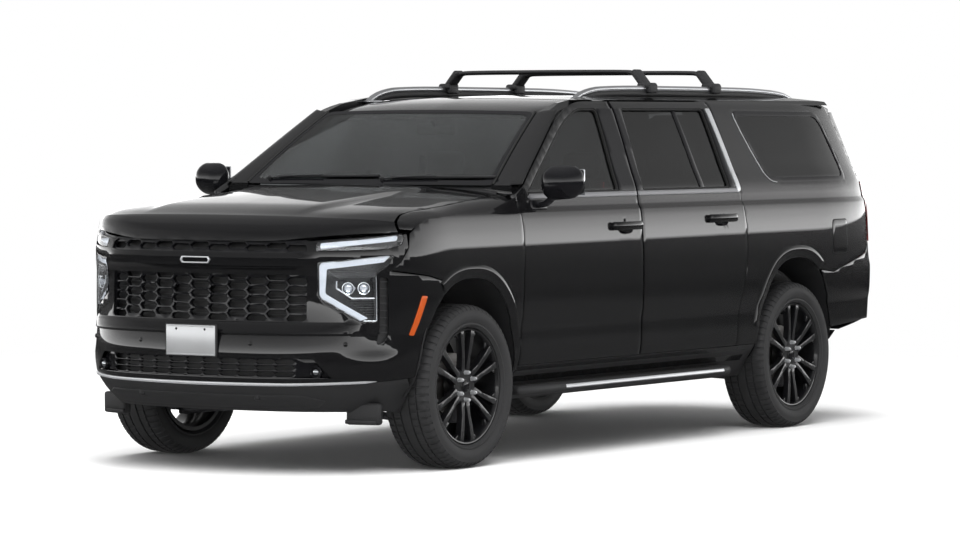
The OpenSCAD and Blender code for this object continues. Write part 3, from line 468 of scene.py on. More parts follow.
def patch(name, outline, place, holes=(), step=0.03, rows=()):
    """A grid cut along an outline and its holes with the bisect tool, then laid on a surface."""
    low, high = np.min(outline, axis=0) - 0.002, np.max(outline, axis=0) + 0.002
    cells = np.maximum(np.ceil((high - low) / step).astype(int), 1)
    clear_selection()
    bpy.ops.mesh.primitive_grid_add(x_subdivisions=int(cells[0]), y_subdivisions=int(cells[1]), size=1)
    piece = bpy.context.object
    piece.name = piece.data.name = name
    middle, size = (low + high) / 2, high - low
    piece.data.transform(Matrix.Translation((*middle, 0)) @ Matrix.Diagonal((*size, 1, 1)))
    bpy.ops.object.mode_set(mode="EDIT")
    bpy.context.tool_settings.mesh_select_mode = (False, False, True)
    mesh = bmesh.from_edit_mesh(piece.data)
    loops = [list(map(tuple, outline))] + [list(map(tuple, hole)) for hole in holes]
    for row in rows:
        bpy.ops.mesh.select_all(action="SELECT")
        bpy.ops.mesh.bisect(plane_co=(0, row, 0), plane_no=(0, 1, 0))
    for loop in loops:
        for (ax, ay), (bx, by) in zip(loop, loop[1:] + loop[:1]):
            if math.hypot(bx - ax, by - ay) < 1e-6:
                continue
            bpy.ops.mesh.select_all(action="DESELECT")
            x0, x1 = min(ax, bx) - 1e-5, max(ax, bx) + 1e-5
            y0, y1 = min(ay, by) - 1e-5, max(ay, by) + 1e-5
            picked = False
            for face in mesh.faces:
                xs = [v.co.x for v in face.verts]
                ys = [v.co.y for v in face.verts]
                if max(xs) > x0 and min(xs) < x1 and max(ys) > y0 and min(ys) < y1:
                    face.select_set(True)
                    picked = True
            if picked:
                bpy.ops.mesh.bisect(plane_co=(ax, ay, 0), plane_no=(by - ay, ax - bx, 0), threshold=1e-6)
                mesh = bmesh.from_edit_mesh(piece.data)
    centres = np.array([face.calc_center_median()[:2] for face in mesh.faces])
    keep = inside(centres, loops[0])
    for hole in loops[1:]:
        keep &= ~inside(centres, hole)
    bpy.ops.mesh.select_all(action="DESELECT")
    for face, stay in zip(mesh.faces, keep):
        face.select_set(not stay)
    bpy.ops.mesh.delete(type="FACE")
    bpy.ops.mesh.select_all(action="SELECT")
    bpy.ops.mesh.remove_doubles(threshold=0.0004)
    bpy.ops.object.mode_set(mode="OBJECT")
    flat = np.zeros(len(piece.data.vertices) * 3)
    piece.data.vertices.foreach_get("co", flat)
    flat = flat.reshape(-1, 3)
    piece.data.vertices.foreach_set("co", np.asarray(place(flat[:, 0], flat[:, 1])).ravel())
    piece.data.update()
    return piece


def sheet_metal(piece, inward, thick=0.005, edge=0.0022):
    """Gives a patch its thickness on the side that "inward" points to, and rounds its edges."""
    normals = np.array([p.normal for p in piece.data.polygons])
    centres = np.array([p.center for p in piece.data.polygons])
    areas = np.array([p.area for p in piece.data.polygons])
    if np.sum(np.einsum("ij,ij->i", normals, inward(centres)) * areas) > 0:
        piece.data.flip_normals()
    modify(piece, "SOLIDIFY", thickness=thick, offset=-1, use_even_offset=True)
    if edge:
        modify(piece, "BEVEL", width=edge, segments=2, limit_method="ANGLE", angle_limit=math.radians(50),
               harden_normals=False, miter_outer="MITER_ARC")
    return piece


def to_middle(centres):
    """Towards the body's middle line."""
    aim = np.array([0.0, 0.0, 0.9]) - centres
    aim[:, 1] = np.where(np.abs(centres[:, 1]) > 2.35, -np.sign(centres[:, 1]) * 1.2, 0)
    return aim


def downward(centres):
    """Towards the ground."""
    return np.tile([0.0, 0.0, -1.0], (len(centres), 1))


# ---- materials ---------------------------------------------------------------------------------
def node_group(name, inputs, outputs):
    """An empty shader group with these sockets: (name, type, default)."""
    tree = bpy.data.node_groups.new(name, "ShaderNodeTree")
    for label, kind, default in inputs:
        socket = tree.interface.new_socket(label, in_out="INPUT", socket_type=kind)
        socket.default_value = default
    for label, kind in outputs:
        tree.interface.new_socket(label, in_out="OUTPUT", socket_type=kind)
    start, end = tree.nodes.new("NodeGroupInput"), tree.nodes.new("NodeGroupOutput")
    return tree, start, end


def add(tree, kind, **values):
    """A node with its properties or input defaults set; a name with digits picks a socket by number."""
    node = tree.nodes.new("ShaderNode" + kind)
    for key, value in values.items():
        if key in node.inputs:
            node.inputs[key].default_value = value
        elif key.startswith("in") and key[2:].isdigit():
            node.inputs[int(key[2:])].default_value = value
        else:
            setattr(node, key, value)
    return node


def grain_group():
    """Fine surface grain: a noise at two scales, as a height and as a mask from 0 to 1."""
    tree, start, end = node_group(
        "surface_grain",
        [("Vector", "NodeSocketVector", (0, 0, 0)), ("Scale", "NodeSocketFloat", 400.0),
         ("Patch Scale", "NodeSocketFloat", 6.0)],
        [("Height", "NodeSocketFloat"), ("Patches", "NodeSocketFloat")])
    fine, broad = add(tree, "TexNoise", Detail=3.0), add(tree, "TexNoise", Detail=4.0, Roughness=0.6)
    tree.links.new(start.outputs["Vector"], fine.inputs["Vector"])
    tree.links.new(start.outputs["Vector"], broad.inputs["Vector"])
    tree.links.new(start.outputs["Scale"], fine.inputs["Scale"])
    tree.links.new(start.outputs["Patch Scale"], broad.inputs["Scale"])
    tree.links.new(fine.outputs["Fac"], end.inputs["Height"])
    tree.links.new(broad.outputs["Fac"], end.inputs["Patches"])
    return tree


def leather_group():
    """Pebbled leather: cells for the pebbles and a broad noise for creases."""
    tree, start, end = node_group(
        "leather_grain",
        [("Vector", "NodeSocketVector", (0, 0, 0)), ("Scale", "NodeSocketFloat", 300.0)],
        [("Height", "NodeSocketFloat"), ("Creases", "NodeSocketFloat")])
    cells = add(tree, "TexVoronoi", feature="DISTANCE_TO_EDGE")
    broad = add(tree, "TexNoise", Scale=14.0, Detail=5.0)
    tree.links.new(start.outputs["Vector"], cells.inputs["Vector"])
    tree.links.new(start.outputs["Vector"], broad.inputs["Vector"])
    tree.links.new(start.outputs["Scale"], cells.inputs["Scale"])
    tree.links.new(cells.outputs["Distance"], end.inputs["Height"])
    tree.links.new(broad.outputs["Fac"], end.inputs["Creases"])
    return tree


GROUPS = {}


def material(name, colour, rough=0.5, metal=0.0, grain=400.0, bump=0.0, vary=0.15, rough_vary=0.08,
             group="surface_grain", patch_scale=6.0, reach=0.0004, **sockets):
    """A Principled material whose colour and roughness drift over the surface, with a grain that bumps it."""
    made = bpy.data.materials.new(name)
    made.use_nodes = True
    tree = made.node_tree
    shader = tree.nodes["Principled BSDF"]
    place = add(tree, "TexCoord")
    effect = tree.nodes.new("ShaderNodeGroup")
    effect.node_tree = GROUPS[group]
    tree.links.new(place.outputs["Object"], effect.inputs["Vector"])
    effect.inputs["Scale"].default_value = grain
    if "Patch Scale" in effect.inputs:
        effect.inputs["Patch Scale"].default_value = patch_scale
    patches = effect.outputs[1]
    low = [c * (1 - vary) for c in colour[:3]] + [1.0]
    high = [min(1.0, c * (1 + vary)) for c in colour[:3]] + [1.0]
    blend = add(tree, "Mix", data_type="RGBA", in6=low, in7=high)
    tree.links.new(patches, blend.inputs[0])
    tree.links.new(blend.outputs[2], shader.inputs["Base Color"])
    if rough_vary:
        spread = add(tree, "MapRange", in3=max(0.0, rough - rough_vary / 2), in4=rough + rough_vary / 2)
        tree.links.new(patches, spread.inputs[0])
        tree.links.new(spread.outputs[0], shader.inputs["Roughness"])
    else:
        shader.inputs["Roughness"].default_value = rough
    shader.inputs["Metallic"].default_value = metal
    if bump:
        relief = add(tree, "Bump", Strength=bump, Distance=reach)
        tree.links.new(effect.outputs[0], relief.inputs["Height"])
        tree.links.new(relief.outputs["Normal"], shader.inputs["Normal"])
    for key, value in sockets.items():
        shader.inputs[key.replace("_", " ")].default_value = value
    return made


MAT = {}


def make_materials(looks):
    """Every material by its short name."""
    GROUPS["surface_grain"], GROUPS["leather_grain"] = grain_group(), leather_group()
    paint = tuple(looks.paint)
    recipes = {"paint": dict(colour=paint, rough=0.32, grain=1500.0, bump=0.006, rough_vary=0.04,
                             patch_scale=3.0, Coat_Weight=1.0, Coat_Roughness=0.012, Coat_IOR=1.5,
                             Specular_IOR_Level=0.06),
               "piano": dict(colour=(0.006, 0.006, 0.007), rough=0.10, grain=1200.0, bump=0.01,
                             rough_vary=0.03, Specular_IOR_Level=0.35),
               "plastic": dict(colour=(0.016, 0.016, 0.017), rough=0.55, grain=900.0, bump=0.35,
                               reach=0.0003),
               "cloth_liner": dict(colour=(0.06, 0.06, 0.063), rough=0.95, grain=700.0, bump=0.6,
                                   Sheen_Weight=0.25),
               "carpet": dict(colour=(0.012, 0.012, 0.013), rough=0.98, grain=500.0, bump=0.9, reach=0.001,
                              Sheen_Weight=0.3),
               "rubber": dict(colour=(0.011, 0.011, 0.011), rough=0.70, grain=700.0, bump=0.25),
               "tyre": dict(colour=(0.020, 0.020, 0.021), rough=0.62, grain=420.0, bump=0.30, reach=0.0004,
                            vary=0.25, rough_vary=0.18, patch_scale=9.0),
               "rim": dict(colour=(0.006, 0.006, 0.007), rough=0.30, grain=1300.0, bump=0.02,
                           Coat_Weight=0.5, Coat_Roughness=0.05),
               "chrome": dict(colour=(0.80, 0.81, 0.82), rough=0.10, metal=1.0, grain=900.0, bump=0.02,
                              vary=0.04, rough_vary=0.05),
               "bright": dict(colour=(0.72, 0.73, 0.75), rough=0.34, metal=0.75, grain=1200.0, bump=0.04,
                              vary=0.05),
               "satin_dark": dict(colour=(0.24, 0.24, 0.25), rough=0.38, metal=0.7, grain=1600.0, bump=0.05,
                                  vary=0.05),
               "mirror": dict(colour=(0.75, 0.77, 0.80), rough=0.03, metal=1.0, grain=900.0, bump=0.0,
                              rough_vary=0.02),
               "satin": dict(colour=(0.70, 0.71, 0.73), rough=0.30, metal=1.0, grain=1600.0, bump=0.08,
                             vary=0.05),
               "plate": dict(colour=(0.60, 0.61, 0.62), rough=0.34, metal=0.7, grain=1100.0, bump=0.08,
                             vary=0.05),
               "disc": dict(colour=(0.33, 0.32, 0.31), rough=0.34, metal=1.0, grain=600.0, bump=0.2,
                            vary=0.2),
               "cast": dict(colour=(0.075, 0.075, 0.08), rough=0.62, metal=0.6, grain=260.0, bump=0.5,
                            reach=0.0008, vary=0.3),
               "frame": dict(colour=(0.013, 0.013, 0.014), rough=0.45, grain=300.0, bump=0.25, vary=0.3),
               "pipe": dict(colour=(0.30, 0.28, 0.26), rough=0.42, metal=1.0, grain=200.0, bump=0.2,
                            vary=0.25),
               "leather": dict(colour=(0.020, 0.020, 0.021), rough=0.46, grain=420.0, bump=0.5,
                               group="leather_grain", reach=0.0006, vary=0.2),
               "stitch": dict(colour=(0.10, 0.10, 0.105), rough=0.8, grain=900.0, bump=0.4),
               "screen": dict(colour=(0.004, 0.005, 0.006), rough=0.08, grain=900.0, bump=0.0),
               "reflector": dict(colour=(0.62, 0.64, 0.67), rough=0.12, metal=1.0, grain=80.0, bump=0.1,
                                 vary=0.1),
               "lamp_dark": dict(colour=(0.018, 0.018, 0.020), rough=0.28, grain=500.0, bump=0.1),
               "belt": dict(colour=(0.03, 0.03, 0.032), rough=0.8, grain=1400.0, bump=0.6),
               # seal: not a seal but a matte near-black, the painted shade of the gap round the fuel door
               "seal": dict(colour=(0.008, 0.008, 0.008), rough=0.8, grain=600.0, bump=0.2),}
    for name, recipe in recipes.items():
        MAT[name] = material(name, **recipe)
    glass = {"glass": (0.13, 0.138, 0.14), "dark_glass": (0.035, 0.037, 0.038), "lens": (0.92, 0.94, 0.96),
             "red_lens": (0.55, 0.012, 0.016)}
    for name, colour in glass.items():
        MAT[name] = glass_material(name, colour)
    MAT["led"] = lit_material("led", (0.66, 0.69, 0.74), looks.lamp_glow)
    MAT["amber"] = lit_material("amber", (0.40, 0.060, 0.003), 0.06)
    MAT["red"] = lit_material("red", (0.55, 0.008, 0.010), 0.20)


def glass_material(name, colour):
    """Tinted glass with a faint drift of its tint."""
    made = material(name, colour, rough=0.0, grain=300.0, bump=0.0, vary=0.03, rough_vary=0.0,
                    patch_scale=2.0)
    shader = made.node_tree.nodes["Principled BSDF"]
    shader.inputs["Transmission Weight"].default_value = 1.0
    shader.inputs["IOR"].default_value = 1.45
    return made


def lit_material(name, colour, strength):
    """A lamp's glowing light guide, with fine ribs."""
    made = material(name, colour, rough=0.25, grain=900.0, bump=0.2, vary=0.05)
    shader = made.node_tree.nodes["Principled BSDF"]
    shader.inputs["Emission Color"].default_value = (*colour, 1.0)
    shader.inputs["Emission Strength"].default_value = strength
    return made


# ---- settings ----------------------------------------------------------------------------------
class SuvLooks(bpy.types.PropertyGroup):
    paint: bpy.props.FloatVectorProperty(
        name="Paint", description="Colour of the body paint", subtype="COLOR", size=3, min=0, max=1,
        default=(0.0045, 0.0045, 0.005))
    lamp_glow: bpy.props.FloatProperty(
        name="Lamp glow", description="Strength of the running lamps", default=0.32, min=0, max=20)
    skin: bpy.props.FloatProperty(
        name="Panel thickness", description="Thickness of a painted panel", default=0.006, unit="LENGTH")
    panel_edge: bpy.props.FloatProperty(
        name="Panel edge", description="Radius of a panel's folded edge", default=0.0022, unit="LENGTH")
    cell: bpy.props.FloatProperty(
        name="Panel mesh", description="Size of the mesh cells of a panel", default=0.035, unit="LENGTH")


def looks():
    """The scene's settings."""
    return bpy.context.scene.suv_looks


# ---- outlines of the side panels, as (y, z) ----------------------------------------------------
ARCH_STEPS, ARCH_FOOT = 15, 0.30


def arch_outline(axle, half, top):
    """Wheel opening, from its rear foot over the top to its front foot."""
    points = [(axle + half, ARCH_FOOT)]
    for k in range(ARCH_STEPS + 1):
        a = math.pi * k / ARCH_STEPS
        c = math.cos(a)
        points.append((axle + half * math.copysign(abs(c) ** 0.8, c), TYRE_R + (top - TYRE_R) * math.sin(a)))
    points.append((axle - half, ARCH_FOOT))
    return points


SPLIT = [(DOOR_SPLIT, 0.50), (DOOR_SPLIT - 0.002, 0.70), (DOOR_SPLIT - 0.010, 1.10),
         (DOOR_SPLIT - 0.015, 1.30), (DOOR_SPLIT - 0.012, BELT), (DOOR_SPLIT + 0.042, ROOF_EDGE + 0.028)]
FRONT_EDGE = [(DOOR_FRONT, 0.50), (DOOR_FRONT + 0.008, 0.80), (DOOR_FRONT + 0.022, 1.10),
              (DOOR_FRONT + 0.014, 1.22), (DOOR_FRONT, 1.305), (DOOR_FRONT + 0.002, 1.385),
              (DOOR_FRONT + 0.105, 1.44)]
REAR_EDGE = [(DOOR_REAR - 0.090, 0.50), (DOOR_REAR - 0.085, 0.64), (DOOR_REAR - 0.070, 0.75),
             (DOOR_REAR - 0.030, 0.87), (DOOR_REAR - 0.006, 0.96), (DOOR_REAR, 1.05),
             (DOOR_REAR - 0.006, 1.18), (DOOR_REAR - 0.028, 1.30), (DOOR_REAR - 0.018, 1.40),
             (DOOR_REAR - 0.048, ROOF_EDGE + 0.028)]
GLASS_SLOPE = 1.557
DOOR_TOP = ROOF_EDGE + 0.028
FRONT_TOP = (DOOR_FRONT + 0.105 + GLASS_SLOPE * (DOOR_TOP - 1.44), DOOR_TOP)


def moved(points, dy):
    """Points moved along the body."""
    return [(y + dy, z) for y, z in points]


def front_door_outline():
    """Outer edge of the front door."""
    return moved(SPLIT, -GAP)[:-1] + rounded(
        [moved(SPLIT, -GAP)[-1], FRONT_TOP, moved(FRONT_EDGE, GAP)[-1]], [0.02, 0.30, 0.0],
        8) + moved(FRONT_EDGE, GAP)[-2::-1]


def rear_door_outline():
    """Outer edge of the rear door."""
    return REAR_EDGE + moved(SPLIT, 0.007 + GAP)[::-1]


def front_window_outline(grow=0.0):
    """Glass of the front door, grown by this much."""
    sill_z, top_z = BELT + 0.006, ROOF_EDGE - 0.008
    return rounded([(DOOR_SPLIT - 0.190 + grow, sill_z - grow), (DOOR_SPLIT - 0.128 + grow, top_z + grow),
                    (DOOR_FRONT + 0.125 + GLASS_SLOPE * (top_z - BELT - 0.022) - grow * 1.2, top_z + grow),
                    (DOOR_FRONT + 0.125 - grow * 1.6, BELT + 0.026),
                    (DOOR_FRONT + 0.105 - grow * 1.4, sill_z - grow)], [0.02, 0.035, 0.30, 0.02, 0.02], 6)


def side_window_outline(grow=0.0):
    """Glass of the rear door, grown by this much."""
    sill_z, top_z = BELT + 0.006, ROOF_EDGE - 0.008
    return rounded([(DOOR_REAR - 0.125 + grow, sill_z - grow), (DOOR_REAR - 0.125 + grow, top_z + grow),
                    (DOOR_SPLIT + 0.122 - grow, top_z + grow), (DOOR_SPLIT + 0.058 - grow, sill_z - grow)],
                   0.022)


def quarter_window_outline(grow=0.0):
    """Glass behind the rear door, grown by this much."""
    return rounded([(REAR - 0.590 + grow, BELT + 0.044 - grow),
                    (REAR - 0.672 + grow, ROOF_EDGE - 0.040 + grow),
                    (DOOR_REAR + 0.185 - grow, ROOF_EDGE - 0.034 + grow),
                    (DOOR_REAR + 0.335 - grow, BELT + 0.044 - grow)], [0.075, 0.07, 0.06, 0.10])


def on_side(out=0.0):
    """Lays (y, z) on the left skin."""
    def place(y, z):
        s = np.interp(y, *SIDE_TABLE)
        return wrap(s, z, out)
    return place


def on_nose(out=0.0):
    """Lays (s, z) on the nose; s is the length round the skin from the middle, + on the left."""
    def place(s, z):
        p = wrap(np.abs(s), z, out(s, z) if callable(out) else out)
        p[..., 0] *= np.where(np.asarray(s) < 0, -1, 1)
        return p
    return place


def on_tail(out=0.0):
    """The same at the tail."""
    def place(s, z):
        p = wrap(ARC_END - np.abs(s), z, out(s, z) if callable(out) else out)
        p[..., 0] *= np.where(np.asarray(s) < 0, -1, 1)
        return p
    return place


def side_table():
    """Length along the plan outline by y, over the side."""
    s, _, py = ARC[:3]
    keep = slice(40, len(s) - 40)
    y = np.maximum.accumulate(py[keep])
    return y + np.arange(len(y)) * 1e-9, s[keep]


SIDE_TABLE = side_table()


def nose_panel(name, outline, holes=(), out=0.0, thick=0.006, step=None, rows=(), edge=0.0022):
    """A panel cut from the nose's skin; out is how far it stands off."""
    return sheet_metal(patch(name, outline, on_nose(out), holes, step or looks().cell, rows), to_middle,
                       thick, edge)


def tail_panel(name, outline, holes=(), out=0.0, thick=0.006, step=None, rows=(), edge=0.0022):
    """A panel cut from the tail's skin."""
    return sheet_metal(patch(name, outline, on_tail(out), holes, step or looks().cell, rows), to_middle,
                       thick, edge)


def both_ways(half):
    """An outline given by its left half, from the top down, closed on the other side."""
    return half + [(-s, z) for s, z in half[::-1]]


def symmetric(half):
    """An outline from its left half that starts and ends on the middle line."""
    return half + [(-s, z) for s, z in half[::-1][1:-1]]


def side_panel(name, outline, holes=(), out=0.0, thick=None, step=None, rows=()):
    """A panel cut from the left side's skin."""
    piece = patch(name, outline, on_side(out), holes, step or looks().cell, rows)
    return sheet_metal(piece, to_middle, thick or looks().skin, looks().panel_edge)


# ---- painted body ------------------------------------------------------------------------------
class SUV_OT_doors(bpy.types.Operator):
    """Door skins with their window frames, and their glass"""
    bl_idname = "suv.doors"
    bl_label = "Doors"

    def execute(self, context):
        doors = (("front", front_door_outline, "front_window", front_window_outline, "glass"),
                 ("rear", rear_door_outline, "side_window", side_window_outline, "dark_glass"))
        for end, outline, _, window, _ in doors:
            y, z = HANDLES[end]
            holes = [window(), oval(y, z - 0.012, *POCKET)]
            both_sides(side_panel(f"{end}_door_skin", outline(), holes, thick=0.040, rows=(1.292, 1.312)),
                       "paint", body=f"{end}_door_SIDE", replaces=f"{end}_door_SIDE")
        for end, _, name, window, look in doors:
            both_sides(side_panel(f"{name}_glass", window(0.010), out=-0.016, thick=0.005), look,
                       body=f"{end}_door_SIDE", replaces=f"{name}_SIDE")
        return {"FINISHED"}


class SUV_OT_fenders(bpy.types.Operator):
    """Front fenders and rear quarter panels with their wheel openings"""
    bl_idname = "suv.fenders"
    bl_label = "Fenders"

    def execute(self, context):
        arch = [point for point in arch_outline(FRONT_AXLE, ARCH_FRONT, ARCH_TOP)[1:-1]
                if point[0] > FRONT_AXLE - 0.20 or point[1] > 0.93]
        door_edge = [(y - GAP, z) for y, z in FRONT_EDGE[::-1] if z < 1.40]
        sill = [(DOOR_FRONT - GAP, SILL + 0.005), (FRONT_AXLE + ARCH_FRONT, SILL + 0.005)]
        nose = [(-2.07, 0.928), (-2.12, 0.968), (-2.230, 0.994), (-2.455, 1.024), (-2.405, 1.062),
                (-2.359, 1.135), (-2.350, 1.204), (-2.30, 1.245)]
        crest = [(-2.22, 1.276), (-2.0, 1.292), (-1.6, 1.318), (DOOR_FRONT, 1.372)]
        fender = door_edge + sill + arch + nose + crest
        arches = (("front", FRONT_AXLE, ARCH_FRONT, ARCH_TOP),
                  ("rear", REAR_AXLE, ARCH_REAR, ARCH_TOP + 0.01))
        for end, axle, half, top in arches:
            def lip(t, w, axle=axle, half=half, top=top):
                t, w = np.asarray(t, float), np.asarray(w, float)
                c, grow = np.cos(math.pi * t), w - 0.003
                y = axle + (half + grow) * np.sign(c) * np.abs(c) ** 0.8
                z = TYRE_R + (top + grow - TYRE_R) * np.sin(math.pi * t)
                out = 0.0005 + 0.009 * ramp(w, 0.0, 0.055) * (1 - ramp(w, 0.062, 0.070))
                return wrap(np.interp(y, *SIDE_TABLE), z, out)
            start, stop = (0.10, 0.665) if end == "front" else (0.325, 0.90)
            strip = [(start, 0.0), (stop, 0.0), (stop, 0.07), (start, 0.07)]
            metal = sheet_metal(patch(end + "_arch_lip", strip, lip, step=0.0175), to_middle, 0.004, 0.0012)
            both_sides(metal, "paint", angle=45)
        both_sides(side_panel("front_fender", fender, rows=(1.275, 1.292)), "paint",
                   replaces="front_fenders")
        rear = arch_outline(REAR_AXLE, ARCH_REAR, ARCH_TOP + 0.01)
        door_edge = [(y + GAP * 2, z) for y, z in REAR_EDGE]
        back = [(DOOR_REAR + 0.5, DOOR_TOP + 0.001), (REAR - 0.60, DOOR_TOP - 0.012),
                (REAR - 0.455, DOOR_TOP - 0.030), (REAR - 0.330, 1.40), (REAR - 0.300, 1.05),
                (REAR - 0.36, 0.985), (REAR - 0.62, 0.94), (REAR - 0.80, 0.905),
                (REAR_AXLE + ARCH_REAR - 0.004, 0.885)]
        arch = [(y, z) for y, z in rear[1:-1] if y <= REAR_AXLE or z >= 0.885]
        sill = [(REAR_AXLE - ARCH_REAR, 0.50), (DOOR_REAR - 0.083, 0.50)]
        quarter = door_edge + back + arch + sill
        both_sides(side_panel("quarter_panel", quarter, [quarter_window_outline(0.012)],
                              rows=(1.292, 1.312)), "paint", replaces="quarter_panels")
        both_sides(side_panel("quarter_glass", quarter_window_outline(0.004), out=-0.004, thick=0.005),
                   "dark_glass", replaces="quarter_windows")
        return {"FINISHED"}


HOOD_SIDE = smooth([(0.0, 0.855), (0.30, 0.862), (0.70, 0.876), (1.00, 0.900), (1.15, 0.925),
                    (HOOD_CREST, 0.952), (HOOD_END, 0.962)])


class SUV_OT_hood(bpy.types.Operator):
    """Hood with its raised middle, and the strips of the fenders beside it"""
    bl_idname = "suv.hood"
    bl_label = "Hood"

    def execute(self, context):
        marks = (0.012, 0.15, 0.30, 0.50, 0.70, 0.85, 1.00, 1.15, 1.22, HOOD_CREST, 1.345, 1.40, HOOD_END
                 - 0.004)
        side = [(float(HOOD_SIDE(t)) - GAP, t) for t in marks]
        hood = patch("hood_skin", side + [(-x, t) for x, t in side[::-1]], hood_skin, step=looks().cell,
                     rows=(1.27, HOOD_CREST, 1.31, 1.345, 1.40))
        sheet_metal(hood, downward, 0.024, 0.003)
        own(hood, "paint", body="hood", replaces=["hood"], angle=28)
        strip = [(float(HOOD_SIDE(t)) + GAP, t) for t in marks[:-1]]
        strip += [(0.985, 1.40), (0.996, 1.22), (0.997, 1.00), (0.997, 0.25), (0.985, 0.012)]
        both_sides(sheet_metal(patch("fender_top", strip, hood_skin, step=looks().cell), downward, 0.006,
                               0.002), "paint")
        return {"FINISHED"}


class SUV_OT_roof(bpy.types.Operator):
    """Roof skin down to the tops of the doors and back to the spoiler's root"""
    bl_idname = "suv.roof"
    bl_label = "Roof"

    def execute(self, context):
        edge, back = 0.795, REAR - 0.500
        outline = [(-edge, HEADER_Y + 0.03), (-0.4, HEADER_Y - 0.002), (0, HEADER_Y - 0.012),
                   (0.4, HEADER_Y - 0.002), (edge, HEADER_Y + 0.03), (edge, back), (-edge, back)]
        skin = patch("roof_skin", outline, roof, step=looks().cell * 1.3)
        sheet_metal(skin, downward, 0.010, 0.003)
        own(skin, "paint", replaces=["roof_panel"])
        return {"FINISHED"}


# ---- front end -----------------------------------------------------------------------------------
def cells(columns, rows, pitch, gap, middle, step_up=0.5):
    """Flattened six-sided openings in staggered columns, as outlines of (s, z)."""
    holes = []
    for i in range(columns):
        s = (i - (columns - 1) / 2) * pitch[0]
        half, tall = (pitch[0] * 1.17 - gap) / 2, (pitch[1] - gap * 0.62) / 2
        for j in range(rows):
            z = middle + (j - (rows - 1) / 2 + (step_up if i % 2 else 0) - step_up / 2) * pitch[1]
            holes.append([(s - half, z), (s - half * 0.70, z - tall), (s + half * 0.70, z - tall),
                          (s + half, z), (s + half * 0.70, z + tall), (s - half * 0.70, z + tall)])
    return holes


LAMP_BAR = [(0.690, 1.121), (0.694, 1.163), (1.168, 1.201), (1.150, 1.150), (1.046, 1.128)]
LAMP_C = [(0.697, 1.066), (1.100, 1.100), (1.072, 1.050), (1.008, 1.012), (1.014, 0.768), (0.930, 0.768),
          (0.700, 0.890)]
LAMP_SLOT = [(1.024, 0.992), (1.070, 0.985), (1.076, 0.700), (1.045, 0.662), (1.006, 0.655), (1.024, 0.720)]
MESH_HALF = [(0.628, 1.002), (0.640, 0.985), (0.640, 0.785), (0.620, 0.772)]
STRIP_HALF = [(0.615, 1.166), (0.640, 1.150), (0.640, 1.118), (0.600, 1.112)]
INTAKE_HALF = [(0.674, 0.590), (0.771, 0.492)]


def bars_out(s, z):
    """How far the cross-bars of the nose stand out."""
    upper = ramp(z, 1.030, 1.046) * (1 - ramp(z, 1.086, 1.108)) * (1 - ramp(np.abs(s), 0.60, 0.69))
    lower = ramp(z, 0.700, 0.712) * (1 - ramp(z, 0.752, 0.768)) * (1 - ramp(np.abs(s), 0.80, 0.95))
    scoop = ramp(np.abs(s), 0.76, 1.00) * (1 - ramp(np.abs(s), 1.02, 1.20)) * ramp(z, 0.56, 0.64) \
        * (1 - ramp(z, 0.68, 0.78))
    return 0.014 * upper + 0.013 * lower - 0.010 * scoop


def sensor(place, aim):
    """The button of a parking sensor."""
    profile = [(0, 0.004), (0.0075, 0.003), (0.011, 0.001), (0.012, -0.006), (0, -0.006)]
    return lathe("sensor", profile, tuple(place), aim, 20)


